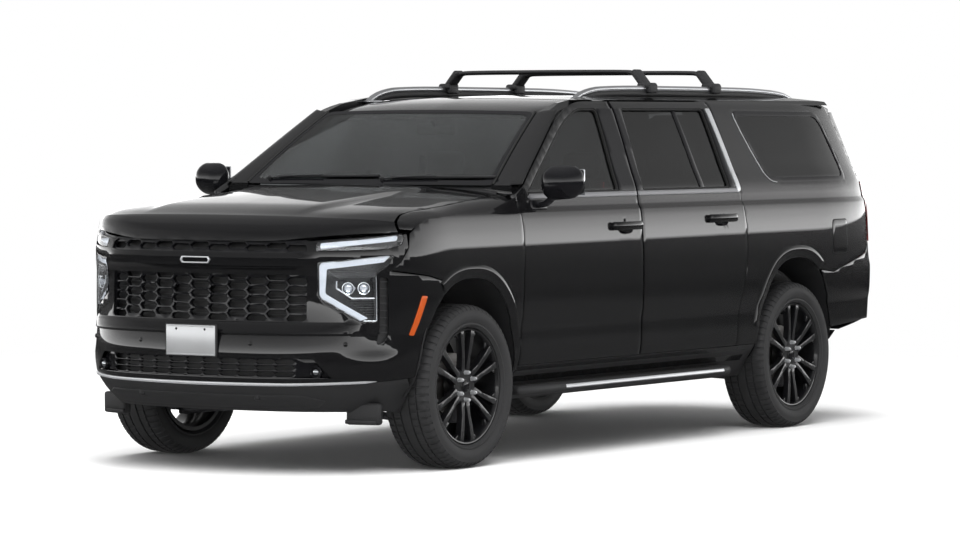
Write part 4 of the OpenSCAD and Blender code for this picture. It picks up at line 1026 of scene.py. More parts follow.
class SUV_OT_bumper(bpy.types.Operator):
    """Nose and front bumper cover, grilles, valance, bright strip, plate and sensors"""
    bl_idname = "suv.bumper"
    bl_label = "Front bumper"

    def execute(self, context):
        self.cover()
        self.grilles()
        self.lower()
        self.small_parts()
        return {"FINISHED"}

    def cover(self):
        arch = [(at_y(y), z) for y, z in arch_outline(FRONT_AXLE, ARCH_FRONT + 0.001, ARCH_TOP)[1:-1]
                if y < FRONT_AXLE - 0.15 and 0.49 < z < 0.925]
        seam = [(at_y(y), z) for y, z in ((-2.455, 1.017), (-2.230, 0.987), (-2.12, 0.961), (-2.07, 0.921))]
        outer = [(0.0, 1.159), (0.35, 1.161), (0.70, 1.170), (0.95, 1.188), (1.180, 1.202), (1.186, 1.135),
                 (1.136, 1.058)]
        half = outer + seam + arch + [
            (at_y(-2.2845), 0.486), (1.205, 0.482), (1.01, 0.470), (0.60, 0.463), (0.0, 0.458)]
        holes = [both_ways(MESH_HALF), both_ways(STRIP_HALF), both_ways(INTAKE_HALF)]
        for lamp in (LAMP_BAR, LAMP_C, LAMP_SLOT):
            lamp = rounded(lamp, 0.014, 2)
            holes += [lamp, [(-s, z) for s, z in lamp]]
        cover = nose_panel("bumper_cover", symmetric(half), holes, bars_out, step=0.03, edge=0.0025,
                           rows=(1.038, 1.046, 1.086, 1.10, 0.700, 0.712, 0.752, 0.768, 0.62))
        own(cover, "paint", replaces=["front_bumper"], angle=26)

    def grilles(self):
        wide = nose_panel("grille_mesh",
                          both_ways([(0.650, 1.010), (0.660, 0.985), (0.660, 0.780), (0.640, 0.762)]),
                          cells(11, 5, (0.117, 0.0465), 0.013, 0.889), -0.010, 0.022, 0.05, edge=0.0016)
        high = nose_panel("upper_mesh",
                          both_ways([(0.640, 1.174), (0.655, 1.150), (0.655, 1.112), (0.62, 1.104)]),
                          cells(11, 1, (0.117, 0.040), 0.012, 1.140, 0.25), -0.010, 0.020, 0.05,
                          edge=0.0016)
        low = nose_panel("lower_mesh", both_ways([(0.690, 0.600), (0.790, 0.482)]),
                         cells(11, 3, (0.105, 0.031), 0.008, 0.540, 0.0), -0.022, 0.018, 0.05, edge=0.0012)
        own(join([wide, high, low], "grille_mesh"), "piano", replaces=["grille"], angle=30)
        back = nose_panel("grille_backing",
                          both_ways([(0.700, 1.172), (0.700, 0.76), (0.800, 0.600), (0.810, 0.478)]), (),
                          -0.052, 0.004, 0.06)
        slats = [nose_panel("slat", both_ways([(0.66, z + 0.004), (0.66, z - 0.004)]), (), -0.040, 0.010,
                            0.06, edge=0.0015) for z in (0.80, 0.83, 0.86, 0.89, 0.92, 0.95, 0.98)]
        own(join([back, *slats], "grille_backing"), "plastic")

    def lower(self):
        strip = nose_panel("bright_strip",
                           both_ways([(0.0001, 0.463), (0.55, 0.4655), (0.95, 0.4725), (1.012, 0.470),
                                      (0.95, 0.4610), (0.55, 0.4515), (0.0001, 0.4465)]), (), 0.007, 0.012,
                           edge=0.004)
        own(strip, "bright", angle=40)
        arch = [(at_y(y), z) for y, z in arch_outline(FRONT_AXLE, ARCH_FRONT + 0.001, ARCH_TOP)[1:]
                if y < FRONT_AXLE and z < 0.485]
        half = [(0.0, 0.455), (0.60, 0.460), (1.01, 0.467), (1.205, 0.479)] + arch + \
            [(1.15, 0.312), (0.80, 0.315), (0.0, 0.315)]
        valance = nose_panel("valance", symmetric(half), (), -0.002, 0.010, 0.04, rows=(0.40, 0.43))
        chin = nose_panel("chin", both_ways([(0.62, 0.400), (0.74, 0.372), (0.70, 0.336), (0.50, 0.330)]),
                          (), 0.006, 0.020, 0.05, edge=0.006)
        own(join([valance, chin], "valance"), "plastic")
        both_sides(join([block((0.180, 0.050, 0.110), (0.780, -2.470, 0.305), 0.014,
                               (0, 0, math.radians(16))),
                         block((0.165, 0.018, 0.022), (0.776, -2.496, 0.266), 0.006,
                               (0, 0, math.radians(16)))], "air_deflector"), "plastic")

    def small_parts(self):
        front = float(wrap(0.0, 0.669)[1]) - 0.010
        plate = join([block((0.305, 0.005, 0.152), (0, front - 0.006, 0.669), 0.0024, segments=2),
                      block((0.292, 0.003, 0.006), (0, front - 0.0085, 0.739), 0.0014, segments=1),
                      block((0.292, 0.003, 0.006), (0, front - 0.0085, 0.599), 0.0014, segments=1)],
                     "front_plate")
        own(plate, "plate")
        holder = join([block((0.320, 0.014, 0.164), (0, front + 0.002, 0.669), 0.004),
                       *[lathe("screw", [(0, 0.003), (0.004, 0.003), (0.0065, 0), (0, 0)],
                               (x, front - 0.009, 0.725), (0, -1, 0), 12) for x in (-0.089, 0.089)]],
                      "plate_holder")
        own(holder, "plastic")
        badge = nose_panel("blank_badge", both_ways([(0.082, 1.088), (0.094, 1.071), (0.082, 1.054)]),
                           [both_ways([(0.076, 1.082), (0.084, 1.071), (0.076, 1.060)])], 0.021, 0.008,
                           0.02, edge=0.002)
        own(badge, "bright", angle=40)
        sensors = [sensor(on_nose()(s, 0.659), tuple(Vector((0.30 * s, -1, 0)).normalized()))
                   for s in (-0.84, -0.345, 0.345, 0.84)]
        own(join(sensors, "parking_sensors"), "paint")
        tow = [block((0.030, 0.06, 0.040), (x, FRONT + 0.085, 0.395), 0.010) for x in (-0.36, 0.36)]
        own(join(tow, "tow_eyes"), "frame")


class SUV_OT_lamps(bpy.types.Operator):
    """Headlamps with their light guides, projectors and lenses, fog lamps and side markers"""
    bl_idname = "suv.lamps"
    bl_label = "Front lamps"

    def execute(self, context):
        bowl = [nose_panel("bowl", [(0.675, 1.112), (0.675, 1.172), (1.180, 1.205), (1.165, 1.140)], (),
                           -0.034, 0.004),
                nose_panel("bowl",
                           [(0.680, 1.078), (1.115, 1.108), (1.085, 1.035), (1.024, 1.000), (1.030, 0.752),
                            (0.92, 0.752), (0.680, 0.880)], (), -0.052, 0.004)]
        for k in range(7):
            z = 0.800 + 0.012 * k
            bowl.append(nose_panel("rib",
                                   [(0.98 - (z - 0.79) * 1.4, z), (1.006, z), (1.006, z + 0.004),
                                    (0.98 - (z - 0.79) * 1.4, z + 0.004)], (), -0.030, 0.020, 0.05,
                                   edge=0.001))
        bowl.append(nose_panel("shelf", [(0.76, 1.020), (1.010, 1.012), (1.010, 0.990), (0.80, 0.990)], (),
                               -0.008, 0.036, 0.05, edge=0.004))
        both_sides(join(bowl, "lamp_bowl"), "lamp_dark", replaces="headlamps")
        guide = [nose_panel("bar",
                            rounded([(0.712, 1.134), (0.714, 1.158), (1.134, 1.192), (1.126, 1.169)], 0.010,
                                    3), (), -0.010, 0.012, 0.03, edge=0.004),
                 nose_panel("arc",
                            rounded([(0.708, 1.058), (1.083, 1.092), (1.050, 1.064), (0.747, 1.031),
                                     (0.738, 0.909), (0.965, 0.787), (0.928, 0.776), (0.709, 0.893)],
                                    [0.02, 0.004, 0.004, 0.010, 0.012, 0.004, 0.004, 0.02], 3), (), -0.010,
                            0.016, 0.025, edge=0.005)]
        both_sides(join(guide, "light_guide"), "led", angle=40)
        inner = [nose_panel("line",
                            [(0.797, 0.972), (0.805, 0.972), (0.805, 0.938), (0.885, 0.889), (1.004, 0.889),
                             (1.004, 0.882), (0.882, 0.882), (0.797, 0.934)], (), -0.018, 0.008, 0.02,
                            edge=0.0015),
                 nose_panel("line",
                            [(1.006, 0.992), (1.011, 0.992), (1.013, 0.772), (0.94, 0.772), (0.94, 0.776),
                             (1.008, 0.776)], (), -0.006, 0.006, 0.02, edge=0.001)]

        def ring(s, z, r):
            p = on_nose(-0.036)(s, z)
            return lathe("ring",
                         [(r, 0.020), (r + 0.004, 0.022), (r + 0.008, 0.012), (r + 0.008, -0.01),
                          (r, -0.01)], tuple(p), (0.42, -0.9, 0), 32)

        inner += [ring(0.870, 0.935, 0.027), ring(0.955, 0.935, 0.027)]
        both_sides(join(inner, "lamp_trim"), "chrome", angle=40)

        def lens(s, z, r):
            p = on_nose(-0.044)(s, z)
            arc = [(r * math.cos(a), 0.020 * math.sin(a)) for a in np.linspace(0, math.pi / 2, 7)]
            return lathe("lens", arc + [(0, -0.006), (r, -0.006)], tuple(p), (0.42, -0.9, 0), 32)

        both_sides(join([lens(0.870, 0.935, 0.026), lens(0.955, 0.935, 0.026)], "projector"), "reflector",
                   angle=50)
        cover = [nose_panel("cover", rounded(LAMP_BAR, 0.012, 3), (), -0.0005, 0.0025, 0.03, edge=0.001),
                 nose_panel("cover", rounded(LAMP_C, 0.012, 3), (), -0.0005, 0.0025, 0.03, edge=0.001)]
        both_sides(join(cover, "lamp_lens"), "lens")
        slot = [nose_panel("slot",
                           [(1.000, 1.000), (1.090, 0.995), (1.095, 0.690), (1.02, 0.635), (0.80, 0.600),
                            (0.98, 0.690), (1.000, 0.72)], (), -0.020, 0.006)]
        for k in range(8):
            z = 0.71 + 0.036 * k
            slot.append(nose_panel("fin", [(1.026, z), (1.070, z), (1.070, z + 0.007), (1.026, z + 0.007)],
                                   (), -0.008, 0.014, 0.05, edge=0.001))
        both_sides(join(slot, "air_slot"), "plastic")
        both_sides(nose_panel("side_marker",
                              rounded([(1.274, 0.893), (1.313, 0.889), (1.228, 0.694), (1.196, 0.698)],
                                      0.008, 3), (), 0.003, 0.010, 0.02, edge=0.003), "amber", angle=40)
        self.fog_lamps()
        return {"FINISHED"}

    def fog_lamps(self):
        p = on_nose(-0.010)(0.692, 0.522)
        aim = (0.25, -0.96, 0)
        both_sides(lathe("fog_bezel",
                         [(0.021, 0.010), (0.025, 0.012), (0.031, 0.004), (0.033, -0.02), (0.021, -0.02)],
                         tuple(p), aim, 32), "piano")
        both_sides(lathe("fog_lamp",
                         [(0, 0.012), (0.010, 0.010), (0.018, 0.005), (0.021, -0.004), (0, -0.004)],
                         tuple(p), aim, 32), "reflector", angle=50)


# ---- windshield, pillars and cowl ----------------------------------------------------------------
COWL_Y = HOOD_REAR + 0.035
PANE_WIDE, PANE_TALL = 0.75, 0.70   # sizes that the windshield's outline is drawn at


def windshield(x, t, out=0.0):
    """The windshield's outer face; x runs across by PANE_WIDE, t up by PANE_TALL."""
    u, v = np.asarray(x, float) / PANE_WIDE, np.asarray(t, float) / PANE_TALL
    half = 0.792 - 0.117 * v
    bulge = (0.050 - 0.026 * v) * (1 - np.abs(u) ** 2.4)
    y = COWL_Y - 0.004 + (HEADER_Y - COWL_Y) * v - bulge
    z = COWL_Z - 0.002 + (HEADER_Z - COWL_Z) * v
    z = z + 0.012 * np.sin(np.pi * np.clip(v, 0, 1)) + 0.010 * (1 - u * u) * v
    return np.stack([u * half, y - 0.54 * out, z + 0.84 * out], axis=-1)


def pillar(t, v):
    """Windshield pillar from the glass (t = 0) to the door's frame (t = 0.12), v from foot to header."""
    t, v = np.asarray(t, float) / 0.12, np.asarray(v, float)
    glass = windshield(PANE_WIDE * 0.995 + 0 * v, v * PANE_TALL, -0.002)
    z = 1.436 + 0.392 * v
    door = np.stack([side_x(z) - 0.001, DOOR_FRONT + 0.105 + GLASS_SLOPE * (z - 1.44) - 0.013, z], axis=-1)
    corner = np.stack([door[..., 0] - 0.014, glass[..., 1] + 0.25 * (door[..., 1] - glass[..., 1]),
                       0.35 * glass[..., 2] + 0.65 * door[..., 2] + 0.004], axis=-1)
    t = t[..., None]
    return (1 - t) ** 2 * glass + 2 * t * (1 - t) * corner + t * t * door


class SUV_OT_windshield(bpy.types.Operator):
    """Windshield with its dark border, the pillars beside it, cowl, wipers and inner mirror"""
    bl_idname = "suv.windshield"
    bl_label = "Windshield"

    def execute(self, context):
        w, h = PANE_WIDE, PANE_TALL
        edge = rounded([(-w, 0.0), (w, 0.0), (w, h), (-w, h)], [0.03, 0.03, 0.06, 0.06])
        pane = sheet_metal(patch("windshield_glass", edge, windshield, step=0.06), downward, 0.005, 0)
        own(pane, "glass", replaces=["windshield"])
        hole = rounded([(-w + 0.030, 0.040), (w - 0.030, 0.040), (w - 0.030, h - 0.035),
                        (-w + 0.030, h - 0.035)], 0.05)
        frit = sheet_metal(patch("windshield_border", edge, lambda x, t: windshield(x, t, 0.0006), [hole],
                                 0.05), downward, 0.0012, 0)
        own(frit, "piano")
        both_sides(sheet_metal(patch("windshield_pillar", [(0, 0.0), (0.12, 0.0), (0.12, 1.0), (0, 1.0)],
                                     pillar, step=0.03), to_middle, 0.006, 0.002), "paint")
        both_sides(tube("pillar_seal", [windshield(w, t, 0.001) for t in np.linspace(0.01, h, 8)], 0.012,
                        0.008, 20), "rubber")
        self.cowl()
        self.wipers()
        own(tube("inner_mirror_arm", [(0, HEADER_Y + 0.01, 1.765), (0, HEADER_Y + 0.045, 1.735)], 0.02),
            "plastic")
        own(block((0.245, 0.030, 0.062), (0, HEADER_Y + 0.055, 1.715), 0.014, name="inner_mirror"),
            "plastic")
        return {"FINISHED"}

    def cowl(self):
        def lie(x, t):
            x, t = np.asarray(x, float), np.asarray(t, float)
            back = windshield(np.clip(x / 0.80, -1, 1) * PANE_WIDE, 0 * x, -0.004)
            front = hood_skin(np.clip(x, -0.85, 0.85), 0 * x + 0.005)
            y = front[..., 1] + (back[..., 1] - front[..., 1] + 0.012) * t / 0.1
            z = front[..., 2] - 0.010 + (back[..., 2] - front[..., 2] + 0.004) * t / 0.1
            z = z - 0.010 * np.sin(np.pi * t / 0.1)
            return np.stack([x, y, z], axis=-1)
        outline = [(-0.845, 0.0), (0.845, 0.0), (0.80, 0.1), (-0.80, 0.1)]
        vents = [[(x, 0.030), (x + 0.09, 0.030), (x + 0.09, 0.045), (x, 0.045)]
                 for x in np.arange(-0.70, 0.65, 0.105)]
        cowl = sheet_metal(patch("cowl", outline, lie, vents, 0.05), downward, 0.006, 0.0015)
        own(cowl, "plastic")

    def wipers(self):
        parts = []
        for foot, tip in ((-0.62, 0.02), (0.10, 0.70)):
            start = windshield(foot, 0.040, 0.006)
            end = windshield((foot + tip) / 2 + 0.02, 0.058, 0.014)
            parts.append(tube("arm", [start, (np.array(start) + end) / 2 + [0, 0, 0.004], end], 0.018,
                              0.008, 8))
            blade = [windshield(x, 0.050 + 0.022 * (x - foot), 0.007)
                     for x in np.linspace(foot + 0.05, tip + 0.05, 10)]
            parts.append(tube("blade", blade, 0.014, 0.016, 20))
            parts.append(lathe("pivot",
                               [(0, 0.014), (0.010, 0.010), (0.013, 0.0), (0.013, -0.012), (0, -0.012)],
                               tuple(start), (0, -0.54, 0.84), 20))
        own(join(parts, "wipers"), "plastic")


# ---- wheels --------------------------------------------------------------------------------------
DISH = smooth([(0.05, 0.094), (0.09, 0.099), (0.15, 0.104), (0.24, 0.110), (0.30, 0.111)])


def wheel_face(name, outline, out=0.0, thick=0.03, edge=0.004, step=0.03):
    """A patch of the wheel's face, drawn as (sideways, outwards) from the wheel's centre."""
    def place(u, v):
        r = np.hypot(u, v)
        return np.stack([DISH(r) + out, u, v], axis=-1)
    piece = patch(name, outline, place, step=step)
    return sheet_metal(piece, lambda c: np.tile([-1.0, 0, 0], (len(c), 1)), thick, edge)


def turned(piece, count):
    """Copies of a piece round the wheel's axle."""
    return copies(piece, [(0, 0, 0)] * count,
                  [Matrix.Rotation(2 * math.pi * k / count, 4, "X") for k in range(count)])


def rim(name):
    """Six pairs of spokes, hub and barrel, round the X axis with the outer face towards +X."""
    pair = []
    for side in (1, -1):
        spoke = [(0.004, 0.070), (0.036, 0.078), (0.038, 0.150), (0.066, 0.276), (0.071, 0.286),
                 (0.034, 0.288), (0.033, 0.270), (0.016, 0.160)]
        pair.append(wheel_face("spoke", [(side * u, v) for u, v in spoke], 0.0, 0.034, 0.0045, 0.04))
        brace = [(0.066, 0.240), (0.100, 0.262), (0.094, 0.275), (0.066, 0.272)]
        pair.append(wheel_face("brace", [(side * u, v) for u, v in brace], -0.010, 0.020, 0.003, 0.04))
    spokes = turned(join(pair, "spokes"), 6)
    barrel = [(0.276, -0.1225), (0.297, -0.1225), (0.2965, -0.112), (0.284, -0.106), (0.283, 0.094),
              (0.2960, 0.1005), (0.2968, 0.1115), (0.2925, 0.1145), (0.2865, 0.1135), (0.281, 0.106),
              (0.277, 0.092), (0.272, 0.030), (0.262, -0.040), (0.266, -0.105)]
    hub = [(0, 0.098), (0.030, 0.098), (0.033, 0.0945), (0.038, 0.0935), (0.058, 0.096), (0.084, 0.0965),
           (0.094, 0.090), (0.098, 0.070), (0.098, 0.030), (0.060, -0.018), (0, -0.018)]
    pads = turned(block((0.030, 0.034, 0.030), (0.078, 0, 0.0699), 0.010), 6)
    return join([lathe("barrel", barrel, steps=96), lathe("hub", hub, steps=60, closed=False), *spokes,
                 *pads], name)


def brake_disc(name):
    """Ventilated disc with its bell, round the X axis."""
    disc = lathe("disc",
                 [(0.062, 0.020), (0.165, 0.020), (0.166, 0.017), (0.166, 0.009), (0.162, 0.008),
                  (0.162, 0.003), (0.166, 0.002), (0.166, -0.006), (0.062, -0.006)], steps=72)
    bell = lathe("bell", [(0.060, 0.040), (0.078, 0.036), (0.082, 0.020), (0.082, 0.010), (0.060, 0.010)],
                 steps=48)
    return join([disc, bell], name)


def nuts(name):
    """Six wheel nuts round the X axis."""
    nut = lathe("nut",
                [(0, 0.128), (0.006, 0.127), (0.0105, 0.121), (0.0118, 0.112), (0.0118, 0.098),
                 (0.0145, 0.095), (0.0145, 0.092), (0, 0.092)], (0, 0, 0.0699), steps=6, closed=False)
    return join(turned(nut, 6), name)


def tread_rings(name):
    """A tyre round the X axis: ribs and grooves round it, and blocks cut across its shoulders."""
    half = [(0.1080, 0.2990), (0.1170, 0.3005), (0.1255, 0.3090), (0.1300, 0.3150), (0.1300, 0.3200),
            (0.1285, 0.3235), (0.1325, 0.3320), (0.1360, 0.3450), (0.1372, 0.3600), (0.1362, 0.3750),
            (0.1340, 0.3840), (0.1345, 0.3870), (0.1300, 0.3950), (0.1250, 0.4020), (0.1180, 0.4075),
            (0.1080, 0.4115), (0.0960, 0.4145), (0.0800, 0.4160), (0.0785, 0.4085), (0.0715, 0.4085),
            (0.0700, 0.4166), (0.0520, 0.4168), (0.0340, 0.4170), (0.0325, 0.4090), (0.0255, 0.4090),
            (0.0240, 0.4170), (0.0, 0.4170)]
    profile = half + [(-x, r) for x, r in half[-2::-1]]
    pitches, parts = 66, (0.0, 0.60, 0.66, 0.92)
    angles = [2 * math.pi * (k + part) / pitches for k in range(pitches) for part in parts]
    verts, faces = [], []
    for index, angle in enumerate(angles):
        low = index % 4 in (2, 3)
        for x, r in profile:
            wide = abs(x)
            cut = 0.0065 if 0.085 < wide < 0.131 and r > 0.394 else 0.0
            fine = 0.0040 if 0.030 < wide < 0.071 and r > 0.415 else 0.0
            drop = cut + fine if low else 0.0
            skew = 0.010 * np.sign(x) * ramp(wide, 0.03, 0.12)
            a = angle + float(skew)
            verts.append((x, (r - drop) * math.sin(a), (r - drop) * math.cos(a)))
    n, rings = len(profile), len(angles)
    for i in range(rings):
        j = (i + 1) % rings
        for k in range(n):
            m = (k + 1) % n
            faces.append((i * n + k, i * n + m, j * n + m, j * n + k))
    return outward(new_piece(name, verts, faces))


class SUV_OT_wheels(bpy.types.Operator):
    """Rims, tyres, brake discs, calipers and wheel nuts"""
    bl_idname = "suv.wheels"
    bl_label = "Wheels"

    def execute(self, context):
        cap = [(0, 0.1045), (0.020, 0.104), (0.024, 0.1025), (0.0255, 0.104), (0.028, 0.1035),
               (0.0295, 0.100), (0.030, 0.094), (0, 0.094)]
        places = [(WHEEL_X * SIDES[side], y, TYRE_R) for y in (FRONT_AXLE, REAR_AXLE) for side in SIDES]
        turns = [Matrix.Rotation(0 if x > 0 else math.pi, 4, "Z") for x, _, _ in places]
        labels = [(end, side) for end in ("front", "rear") for side in SIDES]
        for base, first, look, node, angle in (
                ("rim", rim("rim"), "rim", "rim", 28),
                ("tyre", tread_rings("tyre"), "tyre", "tyre", 30),
                ("brake_disc", brake_disc("brake_disc"), "disc", None, 30),
                ("wheel_nuts", nuts("wheel_nuts"), "bright", None, 30),
                ("centre_cap", lathe("centre_cap", cap, closed=False), "piano", None, 30)):
            for piece, (end, side) in zip(copies(first, places, turns), labels):
                piece.name = piece.data.name = f"{end}_{base}_{side}_piece"
                replaces = [f"{end}_{node}_{side}"] if node else ()
                own(piece, look, body=f"{end}_wheel_{side}", replaces=replaces, angle=angle)
        profile = [(0.100, 0.046), (0.182, 0.046), (0.190, 0.038), (0.190, -0.034), (0.182, -0.040),
                   (0.100, -0.040), (0.100, -0.012), (0.172, -0.012), (0.172, 0.026), (0.100, 0.026)]
        for end, y, body in (("front", FRONT_AXLE, "knuckle_SIDE"), ("rear", REAR_AXLE, "chassis")):
            both_sides(lathe(f"{end}_caliper", profile, (WHEEL_X, y, TYRE_R), steps=10, angle=52,
                             start=-98), "cast", body=body, angle=40)
        return {"FINISHED"}


# ---- trim of the sides and the roof --------------------------------------------------------------
def oval(y, z, wide, tall, count=20):
    """A rounded oblong outline about (y, z)."""
    return [(y + wide / 2 * math.copysign(abs(math.cos(a)) ** 0.7, math.cos(a)),
             z + tall / 2 * math.copysign(abs(math.sin(a)) ** 0.7, math.sin(a)))
            for a in np.linspace(0, 2 * math.pi, count, endpoint=False)]


HANDLES = {"front": (-0.342, 1.200), "rear": (0.690, 1.220)}
POCKET = (0.150, 0.062)


def pocket(name, y, z):
    """The bowl behind a door handle."""
    def sunk(q, h):
        r = np.hypot((q - y) / (POCKET[0] / 2 + 0.004), (h - z + 0.012) / (POCKET[1] / 2 + 0.004))
        return wrap(np.interp(q, *SIDE_TABLE), h, -0.0015 - 0.026 * np.clip(1 - r ** 3, 0, 1))
    bowl = patch(name, oval(y, z - 0.012, POCKET[0] + 0.008, POCKET[1] + 0.008), sunk, step=0.010)
    return sheet_metal(bowl, to_middle, 0.002, 0)


def handle(name, y, z):
    """A door handle: bowed grip on two feet."""
    path = [on_side(out)(y + dy, z + 0.002)
            for dy, out in ((-0.140, 0.010), (-0.122, 0.026), (-0.08, 0.036), (0.0, 0.040), (0.08, 0.036),
                            (0.122, 0.026), (0.140, 0.010))]
    grip = tube(name, path, 0.022, 0.045, 28)
    feet = [block((0.034, 0.034, 0.038), tuple(on_side(0.010)(y + dy, z + 0.002)), 0.008)
            for dy in (-0.128, 0.128)]
    return join([grip, *feet], name)


class SUV_OT_side_trim(bpy.types.Operator):
    """Window surrounds, belt strips, pillar covers, handles, fuel door and mirrors"""
    bl_idname = "suv.side_trim"
    bl_label = "Side trim"

    def execute(self, context):
        def band(name, outline, out, thick=0.006):
            return side_panel(name, outline, out=out, thick=thick)

        for door, window in (("front_door", front_window_outline), ("rear_door", side_window_outline)):
            both_sides(side_panel(door + "_window_seal", window(0.003), [window(-0.010)], out=-0.003,
                                  thick=0.012), "rubber", body=door + "_SIDE")
        s, top = DOOR_SPLIT, ROOF_EDGE - 0.010
        strips = {"front_door": [(s - 0.018, BELT - 0.020), (s - 0.018, BELT + 0.006),
                                 (DOOR_FRONT + 0.125, BELT + 0.006), (DOOR_FRONT + 0.100, BELT - 0.012),
                                 (DOOR_FRONT + 0.120, BELT - 0.020)],
                  "rear_door": [(DOOR_REAR - 0.028, BELT - 0.014), (DOOR_REAR - 0.022, BELT + 0.012),
                                (DOOR_REAR - 0.055, BELT + 0.006), (s, BELT + 0.006), (s, BELT - 0.020),
                                (DOOR_REAR - 0.05, BELT - 0.020)]}
        covers = {"front_door": [(s - 0.019, BELT + 0.010), (s + 0.030, top), (s - 0.124, top),
                                 (s - 0.186, BELT + 0.010)],
                  "rear_door": [(s + 0.056, BELT + 0.010), (s + 0.116, top), (s + 0.048, top),
                                (s - 0.001, BELT + 0.010)]}
        for door in strips:
            both_sides(band(door + "_belt_strip", strips[door], 0.005, 0.008), "satin_dark", body=door
                       + "_SIDE", angle=40)
            both_sides(band(door + "_pillar_cover", covers[door], 0.003), "piano", body=door + "_SIDE")
        rear = DOOR_REAR
        post = [(rear - 0.392, BELT + 0.008), (rear - 0.420, top), (rear - 0.456, top),
                (rear - 0.436, BELT + 0.008)]
        both_sides(band("rear_door_post", post, -0.010, 0.012), "piano", body="rear_door_SIDE")
        pillar_cover = [(rear - 0.060, BELT + 0.010), (rear - 0.100, top), (rear - 0.123, top),
                        (rear - 0.123, BELT + 0.010)]
        both_sides(band("rear_door_rear_cover", pillar_cover, 0.003), "piano", body="rear_door_SIDE")
        line = rounded([(rear - 0.058, BELT - 0.016), (rear - 0.020, BELT - 0.010),
                        (rear - 0.055, top + 0.002), (rear - 0.098, top + 0.002),
                        (rear - 0.060, BELT + 0.030)], [0.0, 0.030, 0.006, 0.006, 0.02], 5)
        both_sides(band("rear_pillar_strip", line, 0.007, 0.010), "bright", body="rear_door_SIDE", angle=40)
        ring = quarter_window_outline(0.013)
        both_sides(side_panel("quarter_window_frame", ring, [quarter_window_outline(-0.014)], out=0.0006,
                              thick=0.009), "piano")
        both_sides(tube("quarter_window_line",
                        [on_side(0.002)(*p) for p in quarter_window_outline(0.012)[12:]], 0.005, 0.005, 40),
                   "bright")
        for end, (y, z) in HANDLES.items():
            door = end + "_door"
            both_sides(handle(door + "_handle", y, z), "paint", body=door + "_SIDE", angle=45)
            both_sides(pocket(door + "_handle_pocket", y, z), "piano", body=door + "_SIDE", angle=45)
        flap = rounded([(2.175, 0.99), (2.175, 1.185), (1.985, 1.185), (1.985, 0.99)], 0.03, 5)
        # The quarter panel keeps no hole here: a matte near-black sheet, just wider than the flap and under
        # it, paints the shade of the gap round the fuel door
        gap = rounded([(2.179, 0.986), (2.179, 1.189), (1.981, 1.189), (1.981, 0.986)], 0.03, 5)
        own(side_panel("fuel_door", flap, out=0.0022, thick=0.004), "paint")
        own(side_panel("fuel_door_gap", gap, out=0.0006, thick=0.002), "seal")
        self.mirrors()
        return {"FINISHED"}

    def mirrors(self):
        middle = Vector((SKIN_X + 0.118, DOOR_FRONT + 0.190, 1.446))

        def head(name):
            piece = block((0.222, 0.150, 0.180), tuple(middle), 0.074, segments=8, name=name)
            for v in piece.data.vertices:
                d = v.co - middle
                front = 1 - float(ramp(d.y, -0.075, 0.03))
                d.x *= 1 - 0.10 * front
                d.z = d.z * (1 - 0.20 * front) + 0.10 * (d.x - 0.02) * (d.z < 0)
                d.y += 0.16 * d.x
                v.co = middle + d
            return piece

        both_sides(head("mirror_shell"), "piano", body="front_door_SIDE", replaces="mirror_SIDE", angle=45)
        both_sides(block((0.170, 0.008, 0.135), tuple(middle + Vector((0, 0.075, 0))), 0.0035,
                         (0, 0, math.radians(9)), name="mirror_glass"), "mirror", body="front_door_SIDE")
        foot = [(side_x(1.33) - 0.004, middle.y - 0.010, 1.325),
                (side_x(1.33) + 0.045, middle.y - 0.006, 1.332), (SKIN_X + 0.080, middle.y + 0.002, 1.385)]
        both_sides(join([tube("arm", foot, 0.070, 0.034, 16),
                         block((0.022, 0.150, 0.058), (side_x(1.322) + 0.002, middle.y, 1.326), 0.010,
                               (0, math.radians(-12), 0))], "mirror_arm"), "piano", body="front_door_SIDE",
                   angle=45)


